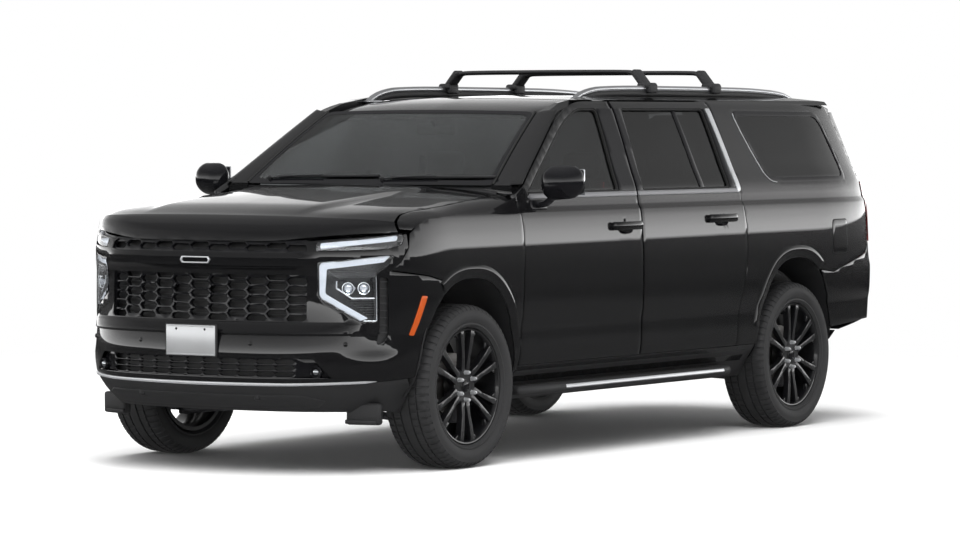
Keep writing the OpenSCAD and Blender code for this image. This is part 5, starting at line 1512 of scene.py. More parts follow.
class SUV_OT_roof_trim(bpy.types.Operator):
    """Side rails and cross bars on the roof, running boards under the doors"""
    bl_idname = "suv.roof_trim"
    bl_label = "Roof and sill trim"

    def execute(self, context):
        x = 0.6705
        path = [(x, -0.352, 1.866), (x, -0.30, 1.893), (x, -0.215, 1.918), (x, -0.08, 1.935),
                (x, 0.30, 1.942), (x, 1.40, 1.938), (x, 1.82, 1.926), (x, 1.99, 1.909), (x, 2.09, 1.880)]

        def rail(name):
            pads = [block((0.046, length, 0.012), (x, y, z), 0.004)
                    for y, length, z in ((-0.30, 0.13, 1.871), (2.03, 0.13, 1.868))]
            return join([tube("rail", path, 0.034, 0.032, 48), *pads], name)

        both_sides(tube("rail_base", [(px, py, pz - 0.027) for px, py, pz in path[1:-1]], 0.028, 0.040, 40),
                   "plastic")
        both_sides(rail("roof_rail"), "satin", replaces="roof_rails", angle=40)
        bars = []
        for y in (0.4565, 1.1665):
            half = [(0.664, y, 1.962), (0.634, y, 1.992), (0.590, y, 2.022), (0.545, y, 2.034),
                    (0.30, y, 2.0365)]
            bars.append(tube("bar", half + [(0, y, 2.037)] + [(-px, py, pz) for px, py, pz in half[::-1]],
                             0.056, 0.026, 72))
            for side in (1, -1):
                bars += [block((0.036, 0.088, 0.120), (side * 0.624, y, 1.998), 0.014,
                               (0, side * math.radians(-40), 0)),
                         block((0.078, 0.105, 0.034), (side * 0.664, y, 1.958), 0.014),
                         block((0.030, 0.085, 0.052), (side * 0.695, y, 1.942), 0.010),
                         block((0.030, 0.085, 0.052), (side * 0.636, y, 1.942), 0.010)]
        own(join(bars, "cross_bars_piece"), "plastic", replaces=["cross_bars"], angle=40)
        self.boards()
        return {"FINISHED"}

    def boards(self):
        middle, half = -0.2775, 1.104

        def tapered(piece, reach=0.16, narrow=0.035):
            for v in piece.data.vertices:
                end = max(0.0, abs(v.co.y - middle) - (half - reach)) / reach
                v.co.x -= narrow * end ** 2 * max(0.0, (v.co.x - 0.90) / 0.13)
            return piece

        def long_block(wide, tall, x, z, round_off, length=half * 2):
            piece = block((wide, length, tall), (x, middle, z), round_off)
            active(piece)
            bpy.ops.object.mode_set(mode="EDIT")
            bpy.ops.mesh.select_all(action="SELECT")
            for k in range(-12, 13):
                bpy.ops.mesh.bisect(plane_co=(0, middle + k * half / 13, 0), plane_no=(0, 1, 0))
                bpy.ops.mesh.select_all(action="SELECT")
            bpy.ops.object.mode_set(mode="OBJECT")
            return tapered(piece)

        rocker = [(REAR_AXLE - ARCH_REAR - 0.004, 0.496), (FRONT_AXLE + ARCH_FRONT + 0.004, 0.496),
                  (FRONT_AXLE + ARCH_FRONT + 0.004, 0.315), (REAR_AXLE - ARCH_REAR - 0.004, 0.315)]
        both_sides(side_panel("rocker_cover", rocker, out=-0.003, thick=0.005, step=0.06,
                              rows=(0.36, 0.41)), "plastic")
        both_sides(join([long_block(0.157, 0.050, 0.950, 0.366, 0.020),
                         *[block((0.30, 0.055, 0.030), (0.80, y, 0.375), 0.008) for y in (-0.9515, 0.5565)]],
                        "running_board"), "plastic", replaces="running_boards")
        ribs = [block((0.086, 0.010, 0.005), (0.942, middle + k * 0.030, 0.3925), 0.0018, segments=1)
                for k in range(-30, 31)]
        both_sides(join([long_block(0.100, 0.006, 0.944, 0.390, 0.002, half * 1.84), *ribs], "board_tread"),
                   "rubber")
        both_sides(block((0.010, 1.66, 0.020), (1.026, -0.14, 0.372), 0.0045, (0, math.radians(-18), 0),
                         name="board_strip"), "bright", angle=40)


# ---- tail ----------------------------------------------------------------------------------------
def tail_s(y):
    """Length round the skin from the middle of the tail to where the side passes y."""
    return ARC_END - at_y(y)


GATE_HALF = [(0.0, 1.800), (0.58, 1.796), (0.640, 1.775), (0.700, 1.55), (0.742, 1.405), (0.748, 1.20),
             (0.742, 0.945), (0.70, 0.935), (0.0, 0.932)]


class SUV_OT_tail(bpy.types.Operator):
    """Liftgate with its window and spoiler, tail lamps and rear bumper"""
    bl_idname = "suv.tail"
    bl_label = "Tail"

    def execute(self, context):
        window = rounded(both_ways([(0.565, 1.768), (0.655, 1.405)]), 0.05, 5)
        wide = rounded(both_ways([(0.580, 1.780), (0.676, 1.393)]), 0.05, 5)

        def gate_out(s, z):
            shelf = ramp(z, 1.16, 1.20) * (1 - ramp(z, 1.30, 1.36)) * (1 - ramp(np.abs(s), 0.66, 0.73))
            dish = ramp(z, 0.985, 1.01) * (1 - ramp(z, 1.145, 1.17)) * (1 - ramp(np.abs(s), 0.30, 0.34))
            return 0.008 * shelf - 0.018 * dish

        gate = tail_panel("liftgate_skin", symmetric(GATE_HALF), [window], gate_out, 0.030, 0.035,
                          (0.985, 1.01, 1.145, 1.17, 1.20))
        own(gate, "paint", body="liftgate", replaces=["liftgate"])
        own(tail_panel("rear_window_glass", wide, (), -0.012, 0.005), "dark_glass", body="liftgate",
            replaces=["rear_window"])
        own(tail_panel("rear_window_border", wide,
                       [rounded(both_ways([(0.535, 1.745), (0.625, 1.430)]), 0.05, 5)], -0.0105, 0.0015),
            "piano", body="liftgate")
        own(tail_panel("liftgate_bar", both_ways([(0.60, 1.262), (0.66, 1.245), (0.60, 1.228)]), (), 0.020,
                       0.012, edge=0.004), "piano", body="liftgate")
        self.gate_parts()
        self.corners()
        self.bumper()
        return {"FINISHED"}

    def gate_parts(self):
        plate_y = float(on_tail(-0.018)(0.0, 1.078)[1])
        own(block((0.305, 0.005, 0.152), (0, plate_y + 0.006, 1.078), 0.0022, (math.radians(-4), 0, 0),
                  name="rear_plate"), "plate", body="liftgate")
        lamps = [block((0.06, 0.02, 0.010), (x, plate_y + 0.020, 1.170), 0.003) for x in (-0.10, 0.10)]
        own(join(lamps, "plate_lamps"), "lens", body="liftgate")
        rear_y = REAR - 0.500

        def wing(x, t):
            x, t = np.asarray(x, float), np.asarray(t, float)
            u = np.clip(np.abs(x) / 0.72, 0, 1)
            tip = 2.590 - 0.030 * u ** 2 - 0.165 * np.clip((u - 0.78) / 0.22, 0, 1) ** 1.6
            y = rear_y + 0.006 + (tip - rear_y) * t
            root = ROOF_LINE(rear_y) - ROOF_DROP(np.abs(x) * 1.035)
            z = root + (1.860 - 0.034 * u ** 3 - root) * (t * 0.75 + 0.25 * t * t)
            return np.stack([x, y, z], axis=-1)

        spoiler = sheet_metal(patch("spoiler",
                                    rounded([(-0.735, 0), (0.735, 0), (0.72, 1), (-0.72, 1)],
                                            [0.0, 0.0, 0.06, 0.06]), wing, step=0.05), downward, 0.040,
                              0.009)
        own(spoiler, "paint", body="liftgate", angle=45)
        both_sides(prism("spoiler_end",
                         [(2.385, 1.868), (2.46, 1.850), (2.535, 1.832), (2.50, 1.792), (2.41, 1.800)],
                         0.56, 0.690, 0.012), "paint", body="liftgate", angle=45)
        own(block((0.34, 0.010, 0.014), (0, 2.592, 1.842), 0.004, name="high_brake_lamp"), "red_lens",
            body="liftgate")
        arm = [on_tail(0.022)(0.0, 1.790), on_tail(0.026)(0.05, 1.70), on_tail(0.018)(0.16, 1.56)]
        blade = [on_tail(0.006)(s, z)
                 for s, z in ((-0.02, 1.545), (0.10, 1.560), (0.22, 1.565), (0.34, 1.560))]
        own(join([tube("arm", arm, 0.020, 0.010, 12), tube("blade", blade, 0.010, 0.014, 16)],
                 "rear_wiper"), "plastic", body="liftgate")

    def corners(self):
        inner, rear = 0.752, REAR
        cheek = [(0.748, 1.412), (0.706, 1.55), (0.650, 1.790), (0.66, 1.815), (tail_s(rear - 0.455), 1.806),
                 (tail_s(rear - 0.333), 1.412)]
        both_sides(tail_panel("rear_pillar", cheek, (), 0.0, 0.006, 0.03), "paint")
        lamp = rounded([(inner + 0.002, 1.405), (inner + 0.004, 1.034), (tail_s(rear - 0.304), 1.046),
                        (tail_s(rear - 0.334), 1.400)], [0.012, 0.012, 0.03, 0.03], 4)
        both_sides(tail_panel("tail_lens", lamp, (), 0.004, 0.004, 0.02), "red_lens", replaces="tail_lamps")
        both_sides(tail_panel("tail_bowl", lamp, (), -0.020, 0.003, 0.03), "lamp_dark")

        def guides(name):
            bars = []
            for k in range(3):
                s = inner + 0.035 + 0.060 * k
                bars.append(tail_panel("bar",
                                       [(s, 1.370), (s + 0.022, 1.370), (s + 0.022, 1.085), (s, 1.075)], (),
                                       -0.006, 0.010, 0.02, edge=0.003))
            return join(bars, name)

        both_sides(guides("tail_guides"), "red")
        both_sides(tail_panel("reversing_lamp",
                              [(inner + 0.03, 1.068), (inner + 0.20, 1.078), (inner + 0.20, 1.052),
                               (inner + 0.03, 1.046)], (), -0.008, 0.006, 0.02), "reflector")

    def bumper(self):
        rear = REAR
        arch = [(tail_s(y), z) for y, z in arch_outline(REAR_AXLE, ARCH_REAR - 0.003, ARCH_TOP + 0.01)[:9]
                if 0.56 < z < 0.880][::-1]
        top = [(0.0, 0.926), (0.55, 0.926), (0.70, 0.940), (0.750, 1.027), (tail_s(rear - 0.303), 1.040),
               (tail_s(rear - 0.363), 0.978), (tail_s(rear - 0.62), 0.933), (tail_s(rear - 0.80), 0.898),
               (tail_s(REAR_AXLE + ARCH_REAR - 0.004), 0.879), (tail_s(REAR_AXLE + 0.285), 0.896)]
        foot = [(tail_s(REAR_AXLE + ARCH_REAR - 0.012), 0.560), (tail_s(rear - 0.40), 0.585), (0.88, 0.585),
                (0.62, 0.500), (0.0, 0.500)]

        def step_out(s, z):
            return 0.014 * ramp(z, 0.70, 0.72) * (1 - ramp(z, 0.86, 0.90)) * (
                1 - ramp(np.abs(s), 0.75, 0.95))

        cover = tail_panel("rear_bumper_cover", symmetric(top + arch + foot), (), step_out, 0.008, 0.035,
                           (0.70, 0.72, 0.86, 0.90))
        own(cover, "paint", replaces=["rear_bumper"])
        low = symmetric([(0.0, 0.494), (0.60, 0.494), (0.56, 0.440), (0.45, 0.415), (0.0, 0.410)])
        own(tail_panel("rear_valance", low, (), -0.004, 0.010, 0.05), "plastic")
        own(tail_panel("bumper_step", both_ways([(0.56, 0.912), (0.60, 0.880), (0.56, 0.862)]), (), 0.016,
                       0.006, edge=0.002), "plastic")
        both_sides(tail_panel("rear_reflector",
                              rounded([(0.56, 0.640), (0.80, 0.640), (0.80, 0.608), (0.56, 0.608)], 0.01),
                              (), 0.004, 0.006, 0.03, edge=0.002), "red_lens")
        sensors = [sensor(on_tail()(s, 0.675), (0.2 * s, 1, 0)) for s in (-0.80, -0.30, 0.30, 0.80)]
        own(join(sensors, "rear_sensors"), "paint")


# ---- cabin ---------------------------------------------------------------------------------------
SEAT_FLOOR = 0.640
CUSHION = [(-0.012, 0.205), (0.470, 0.200), (0.500, 0.290), (0.060, 0.312), (-0.005, 0.285)]
SHRINK = 0.012                    # room left for the padding's swell


def swollen(piece, cap, voxel=0.018):
    """Pads a closed form: remeshes it, blows it up a little as cloth, and smooths it."""
    modify(piece, "REMESH", mode="VOXEL", voxel_size=voxel)
    scene = bpy.context.scene
    before = np.zeros(len(piece.data.vertices) * 3)
    piece.data.vertices.foreach_get("co", before)
    before = before.reshape(-1, 3)
    cloth = piece.modifiers.new("padding", "CLOTH")
    cloth.settings.use_pressure = True
    cloth.settings.uniform_pressure_force = 4.0
    cloth.settings.effector_weights.gravity = 0.0
    for number in range(1, 21):
        scene.frame_set(number)
    active(piece)
    bpy.ops.object.modifier_apply(modifier=cloth.name)
    scene.frame_set(1)
    after = np.zeros(len(piece.data.vertices) * 3)
    piece.data.vertices.foreach_get("co", after)
    move = after.reshape(-1, 3) - before
    length = np.linalg.norm(move, axis=1, keepdims=True)
    held = before + move * np.minimum(1, cap / np.maximum(length, 1e-9))
    piece.data.vertices.foreach_set("co", held.ravel())
    piece.data.update()
    modify(piece, "SMOOTH", factor=0.5, iterations=3)
    modify(piece, "SUBSURF", levels=1, render_levels=1)
    return piece


def seat_pads(name, wide, high):
    """Cushion, back and their bolsters for one seat or bench, at the seat's own origin."""
    half = wide / 2 - SHRINK
    back = [(0.445, 0.225), (0.545, 0.225), (0.690, 0.170 + high), (0.612, 0.185 + high)]
    centre = half - 0.085
    parts = [prism("pad", CUSHION, -centre, centre, 0.025), prism("pad", back, -centre, centre, 0.022)]
    for side in (1, -1):
        outer = side * half
        bolster = [(y, z + (0.022 if z > 0.25 else 0)) for y, z in CUSHION]
        parts.append(prism("pad", bolster, side * (centre - 0.004), outer, 0.030))
        wing = [(y - (0.035 if k in (0, 3) else 0.0), z - (0.06 if z > 0.4 else 0))
                for k, (y, z) in enumerate(back)]
        parts.append(prism("pad", wing, side * (centre - 0.004), outer, 0.028))
    return swollen(join(parts, name), 0.024)


def head_pad(name, high):
    """Padding of one headrest."""
    pad = prism(name,
                [(0.640, 0.245 + high), (0.728, 0.235 + high), (0.752, 0.385 + high),
                 (0.684, 0.395 + high)], -0.118, 0.118, 0.035, 4)
    return swollen(pad, 0.010, 0.012)


def seat_hard_parts(name, wide, high, heads):
    """Base, shell behind the back and headrest posts of one seat."""
    parts = [prism("base", [(0.07, 0.001), (0.41, 0.001), (0.44, 0.185), (0.04, 0.185)], -wide / 2 + 0.05,
                   wide / 2 - 0.05, 0.014),
             prism("shell", [(0.552, 0.215), (0.566, 0.220), (0.716, 0.150 + high), (0.702, 0.156 + high)],
                   -wide / 2 + 0.03, wide / 2 - 0.03, 0.006)]
    for x in heads:
        for dx in (-0.06, 0.06):
            parts.append(tube("post", [(x + dx, 0.668, 0.170 + high), (x + dx, 0.694, 0.270 + high)], 0.011,
                              count=3))
    return join(parts, name)


def seams(name, wide, high):
    """Piping along the cushion's and the back's inner edges."""
    centre = wide / 2 - SHRINK - 0.083
    lines = []
    for x in (-centre, centre):
        lines.append(tube("seam", [(x, 0.02, 0.331), (x, 0.15, 0.338), (x, 0.30, 0.334), (x, 0.43, 0.318)],
                          0.006, count=12))
        lines.append(tube("seam", [(x, 0.446, 0.32), (x, 0.470, 0.20 + high / 2), (x, 0.586, 0.12 + high)],
                          0.006, count=12, twist="MINIMUM"))
    return join(lines, name)


class SUV_OT_cabin(bpy.types.Operator):
    """Dashboard, console, steering wheel, seats, door cards, linings and belts"""
    bl_idname = "suv.cabin"
    bl_label = "Cabin"

    def execute(self, context):
        self.seats()
        self.dashboard()
        self.steering_wheel()
        self.linings()
        self.door_cards()
        return {"FINISHED"}

    def seats(self):
        rows = (("front_seat", (0.45, -0.45), -0.5955, 0.54, 0.56, (0.0,), "front_seats"),
                ("second_seat", (0.45, -0.45), 0.3045, 0.52, 0.54, (0.0,), "second_row_seats"),
                ("third_bench", (0.0,), 1.0005, 1.18, 0.52, (0.4, -0.4), "third_row_seat"))
        for name, centres, y, wide, high, heads, node in rows:
            makers = (("pad", lambda: seat_pads(name, wide, high), "leather", 180),
                      ("frame", lambda: seat_hard_parts(name, wide, high, heads), "plastic", 32),
                      ("piping", lambda: seams(name, wide, high), "stitch", 60))
            for label, maker, look, angle in makers:
                made = copies(maker(), [(x, y, SEAT_FLOOR) for x in centres])
                for index, piece in enumerate(made):
                    piece.name = piece.data.name = f"{name}_{label}_{index + 1}"
                    own(piece, look, replaces=[node] if label == "pad" else (), angle=angle)
            places = [(x + hx, y, SEAT_FLOOR) for x in centres for hx in heads]
            for index, piece in enumerate(copies(head_pad(name, high), places)):
                piece.name = piece.data.name = f"{name}_headrest_{index + 1}"
                own(piece, "leather", angle=180)
        belts = []
        for side in (1, -1):
            for y, top in ((-0.20, 1.56), (0.62, 1.56)):
                path = [(side * 0.735, y + 0.50, top), (side * 0.745, y + 0.44, 1.20),
                        (side * 0.735, y + 0.33, 0.80)]
                belts.append(tube("belt", path, 0.004, 0.046, 12, "MINIMUM"))
        own(join(belts, "seat_belts"), "belt")

    def dashboard(self):
        y = COWL_Y
        hull = [(y + 0.030, 1.322), (y + 0.030, 1.370), (y + 0.205, 1.380), (y + 0.405, 1.338),
                (y + 0.428, 1.300), (y + 0.405, 1.285), (y + 0.435, 1.130), (y + 0.300, 0.965),
                (y + 0.125, 0.965)]
        dash = prism("dashboard_body", hull, -0.795, 0.795, 0.016)
        own(dash, "leather", replaces=["dashboard"])
        band = [(y + 0.425, 1.236), (y + 0.436, 1.205), (y + 0.440, 1.165), (y + 0.430, 1.150),
                (y + 0.405, 1.200)]
        own(prism("dashboard_band", band, -0.780, 0.780, 0.004), "satin_dark")
        screens = [block((0.40, 0.016, 0.150), (0.375, y + 0.385, 1.372), 0.010, (math.radians(-14), 0, 0)),
                   block((0.46, 0.016, 0.190), (-0.06, y + 0.440, 1.330), 0.010, (math.radians(-14), 0, 0))]
        own(join(screens, "screens"), "screen")
        vents = []
        for x in (-0.70, -0.42, 0.16, 0.68):
            for k in range(4):
                vents.append(block((0.13, 0.010, 0.004), (x, y + 0.438, 1.190 + 0.014 * k), 0.0015,
                                   segments=1))
        own(join(vents, "air_vents"), "plastic")
        sides = [(y + 0.21, 0.642), (y + 0.99, 0.642), (y + 0.99, 0.905), (y + 0.94, 0.925),
                 (y + 0.42, 0.925), (y + 0.36, 0.990), (y + 0.21, 0.995)]
        own(prism("centre_console", sides, -0.145, 0.145, 0.016), "plastic")
        own(block((0.235, 0.34, 0.050), (0, y + 0.80, 0.945), 0.020, name="arm_rest"), "leather")
        cups = [lathe("cup", [(0.038, 0.006), (0.044, 0.008), (0.047, 0.0), (0.038, -0.001)],
                      (x, y + 0.50, 0.926), (0, 0, 1), 28) for x in (-0.055, 0.055)]
        own(join(cups, "cup_rings"), "chrome")

    def steering_wheel(self):
        centre, tilt = Vector((0.3755, -0.7555, 1.22)), Matrix.Rotation(math.radians(-65), 4, "X")
        clear_selection()
        bpy.ops.mesh.primitive_torus_add(
            major_radius=0.172, minor_radius=0.0145, major_segments=56, minor_segments=14)
        rim_piece = settle(bpy.context.object)
        parts = [rim_piece]
        for angle in (0, 180, 270):
            a = math.radians(angle)
            inner, outer = (0.055 * math.cos(a), 0.055 * math.sin(a),
                            0.002), (0.165 * math.cos(a), 0.165 * math.sin(a), 0)
            parts.append(tube("spoke", [inner, outer], 0.050 if angle < 270 else 0.040, 0.014, 6))
        parts.append(block((0.150, 0.120, 0.044), (0, 0, 0.004), 0.018, segments=4))
        parts.append(lathe("boss", [(0, 0.01), (0.045, 0.005), (0.052, -0.07), (0, -0.075)], axis=(0, 0, 1),
                           steps=32, closed=False))
        wheel = join(parts, "steering_wheel_piece")
        wheel.data.transform(Matrix.Translation(centre) @ tilt)
        own(wheel, "leather", replaces=["steering_wheel"], angle=45)
        column = tube("steering_column",
                      [centre - Vector((0, 0.050, 0.022)), Vector((0.3755, -0.8675, 1.167))], 0.085, 0.085,
                      8)
        own(column, "plastic")
        stalks = [tube("stalk",
                       [(0.3755 + side * 0.03, -0.835, 1.19), (0.3755 + side * 0.15, -0.815, 1.20)], 0.014,
                       count=5) for side in (1, -1)]
        own(join(stalks, "stalks"), "plastic")

    def linings(self):
        def ceiling(x, y):
            p = roof(x, y)
            p[..., 2] -= 0.052
            return p

        liner = patch("headliner",
                      [(-0.70, HEADER_Y + 0.08), (0.70, HEADER_Y + 0.08), (0.70, REAR - 0.58),
                       (-0.70, REAR - 0.58)], ceiling, step=0.10)
        own(sheet_metal(liner, downward, 0.008, 0), "cloth_liner")
        visors = [block((0.40, 0.150, 0.016), (side * 0.36, HEADER_Y + 0.100, 1.790), 0.007,
                        (math.radians(12), 0, 0)) for side in (1, -1)]
        own(join(visors, "sun_visors"), "cloth_liner")
        mat = patch("cabin_carpet", [(-0.86, -1.20), (0.86, -1.20), (0.86, 2.44), (-0.86, 2.44)], lambda x,
                    y: np.stack([x, y, 0.6412 + 0.0012 * np.sin(x * 9) * np.sin(y * 7)], axis=-1), step=0.2)
        own(sheet_metal(mat, downward, 0.001, 0), "carpet")
        for end, axle, half in (("front", FRONT_AXLE, ARCH_FRONT), ("rear", REAR_AXLE, ARCH_REAR)):
            def shell(x, t, axle=axle, half=half):
                a = math.pi * np.asarray(t, float)
                r = half + 0.008
                y = axle + r * np.sign(np.cos(a)) * np.abs(np.cos(a)) ** 0.8
                z = TYRE_R + (ARCH_TOP + 0.008 - TYRE_R) * np.sin(a)
                return np.stack([np.minimum(x, side_x(z) - 0.008), y, z], axis=-1)
            both_sides(sheet_metal(patch(end + "_arch_liner",
                                         [(0.62, -0.02), (1.003, -0.02), (1.003, 1.02), (0.62, 1.02)],
                                         shell, step=0.05), lambda c,
                                   axle=axle: (c - np.array([0.0, axle, 0.5])) * np.array([0, 1, 1]), 0.004,
                                   0), "plastic")

        wall = arch_outline(REAR_AXLE, ARCH_REAR + 0.006, ARCH_TOP + 0.006)[1:-1]
        both_sides(sheet_metal(patch("rear_wheelhouse", wall, lambda y,
                                     z: np.stack([0.618 + 0 * y, y, z], axis=-1), step=0.08), to_middle,
                               0.004, 0), "carpet")
        front, back, top = DOOR_REAR - 0.02, REAR - 0.46, 1.36
        lining = rounded([(back, 1.02), (back - 0.02, top), (front, top), (front, 1.02)], 0.03)
        both_sides(side_panel("cargo_lining", lining, out=-0.060, thick=0.010, step=0.06), "cloth_liner")

    def door_cards(self):
        cards = {"front_door": [(DOOR_SPLIT - 0.045, 0.60), (DOOR_SPLIT - 0.050, 1.355),
                                (DOOR_FRONT + 0.13, 1.355), (DOOR_FRONT + 0.05, 1.20),
                                (DOOR_FRONT + 0.05, 0.60)],
                 "rear_door": [(DOOR_REAR - 0.13, 0.75), (DOOR_REAR - 0.06, 1.0), (DOOR_REAR - 0.07, 1.355),
                               (DOOR_SPLIT + 0.05, 1.355), (DOOR_SPLIT + 0.045, 0.60),
                               (DOOR_REAR - 0.15, 0.60)]}
        for door, outline in cards.items():
            both_sides(side_panel(door + "_card", rounded(outline, 0.04), out=-0.046, thick=0.016,
                                  step=0.05), "leather", body=door + "_SIDE")
            middle = (outline[0][0] + outline[-1][0]) / 2
            both_sides(block((0.040, 0.42, 0.045), (side_x(1.0) - 0.078, middle, 1.02), 0.016, name=door
                             + "_arm_rest"), "leather", body=door + "_SIDE")


class SUV_OT_engine_bay(bpy.types.Operator):
    """Engine cover, air box, battery, hoses and the lining under the hood"""
    bl_idname = "suv.engine_bay"
    bl_label = "Engine bay"

    def execute(self, context):
        low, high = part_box("engine_block")
        x, y, z = (low.x + high.x) / 2, (low.y + high.y) / 2, high.z
        wide, long = high.x - low.x, high.y - low.y
        cover = [block((wide * 0.86, long * 0.80, 0.050), (x, y, z + 0.018), 0.020, segments=4)]
        cover += [block((0.030, long * 0.66, 0.020), (x + dx * wide, y, z + 0.046), 0.007)
                  for dx in (-0.32, -0.16, 0.0, 0.16, 0.32)]
        cover.append(lathe("cap", [(0, 0.030), (0.026, 0.028), (0.030, 0.018), (0.030, 0.0), (0, 0)],
                           (x + wide * 0.24, y - long * 0.33, z + 0.040), (0, 0, 1), 24))
        own(join(cover, "engine_cover"), "plastic")
        tower = FRONT_AXLE + 0.10
        box = [block((0.26, 0.36, 0.150), (0.700, tower, 1.052), 0.026, segments=4),
               block((0.27, 0.37, 0.016), (0.700, tower, 1.075), 0.006),
               block((0.20, 0.26, 0.185), (-0.690, tower, 1.070), 0.010),
               block((0.205, 0.265, 0.022), (-0.690, tower, 1.150), 0.006)]
        box += [lathe("post", [(0, 0.022), (0.009, 0.021), (0.010, 0.0), (0, 0)],
                      (-0.690 + dx, tower - 0.09, 1.160), (0, 0, 1), 16) for dx in (-0.06, 0.06)]
        own(join(box, "air_box_and_battery"), "plastic")
        hoses = [tube("hose",
                      [(0.58, tower, 1.08), (0.45, tower - 0.05, 1.13), (x + wide * 0.30, y, z + 0.05)],
                      0.085, count=20, twist="MINIMUM"),
                 tube("hose",
                      [(-0.60, tower - 0.10, 1.05), (-0.45, tower - 0.30, 1.00),
                       (x - wide * 0.42, y - long * 0.3, z - 0.05)], 0.040, count=20, twist="MINIMUM")]
        own(join(hoses, "hoses"), "rubber", angle=50)
        support = [block((1.36, 0.045, 0.085), (0, FRONT + 0.330, 1.075), 0.012)]
        support += [block((0.045, 0.045, 0.42), (side * 0.66, FRONT + 0.330, 0.86), 0.012)
                    for side in (1, -1)]
        support.append(block((1.24, 0.030, 0.46), (0, FRONT + 0.345, 0.83), 0.008))
        own(join(support, "radiator_support"), "frame")
        outline = rounded([(-0.74, 0.10), (0.74, 0.10), (0.82, 1.12), (-0.82, 1.12)], 0.06)
        pockets = [rounded(both, 0.04)
                   for both in ([(-0.66, 0.18), (-0.36, 0.18), (-0.30, 0.52), (-0.70, 0.52)],
                                [(0.36, 0.18), (0.66, 0.18), (0.70, 0.52), (0.30, 0.52)],
                                [(-0.27, 0.18), (0.27, 0.18), (0.20, 0.60), (-0.20, 0.60)],
                                [(-0.72, 0.62), (-0.30, 0.62), (-0.14, 1.02), (-0.75, 1.02)],
                                [(0.30, 0.62), (0.72, 0.62), (0.75, 1.02), (0.14, 1.02)])]
        lining = patch("hood_lining", outline, lambda u, t: hood_skin(u, t) - np.array([0, 0, 0.030]),
                       pockets, 0.05)
        own(sheet_metal(lining, downward, 0.012, 0.003), "cloth_liner", body="hood")
        return {"FINISHED"}


NODE_LOOKS = {"frame_rails": "frame", "cross_members": "frame", "tow_hitch": "frame", "engine_block": "cast",
              "front_suspension": "cast", "rear_axle": "cast", "exhaust": "pipe", "floor_pan": "carpet",
              "side_frames": "paint", "knuckle_left": "cast", "knuckle_right": "cast"}


class SUV_OT_underside(bpy.types.Operator):
    """Materials for the frame's own parts that stay in sight"""
    bl_idname = "suv.underside"
    bl_label = "Underside"

    def execute(self, context):
        for node, look in NODE_LOOKS.items():
            for slot in frame["nodes"][node].material_slots:
                slot.material = MAT[look]
        return {"FINISHED"}


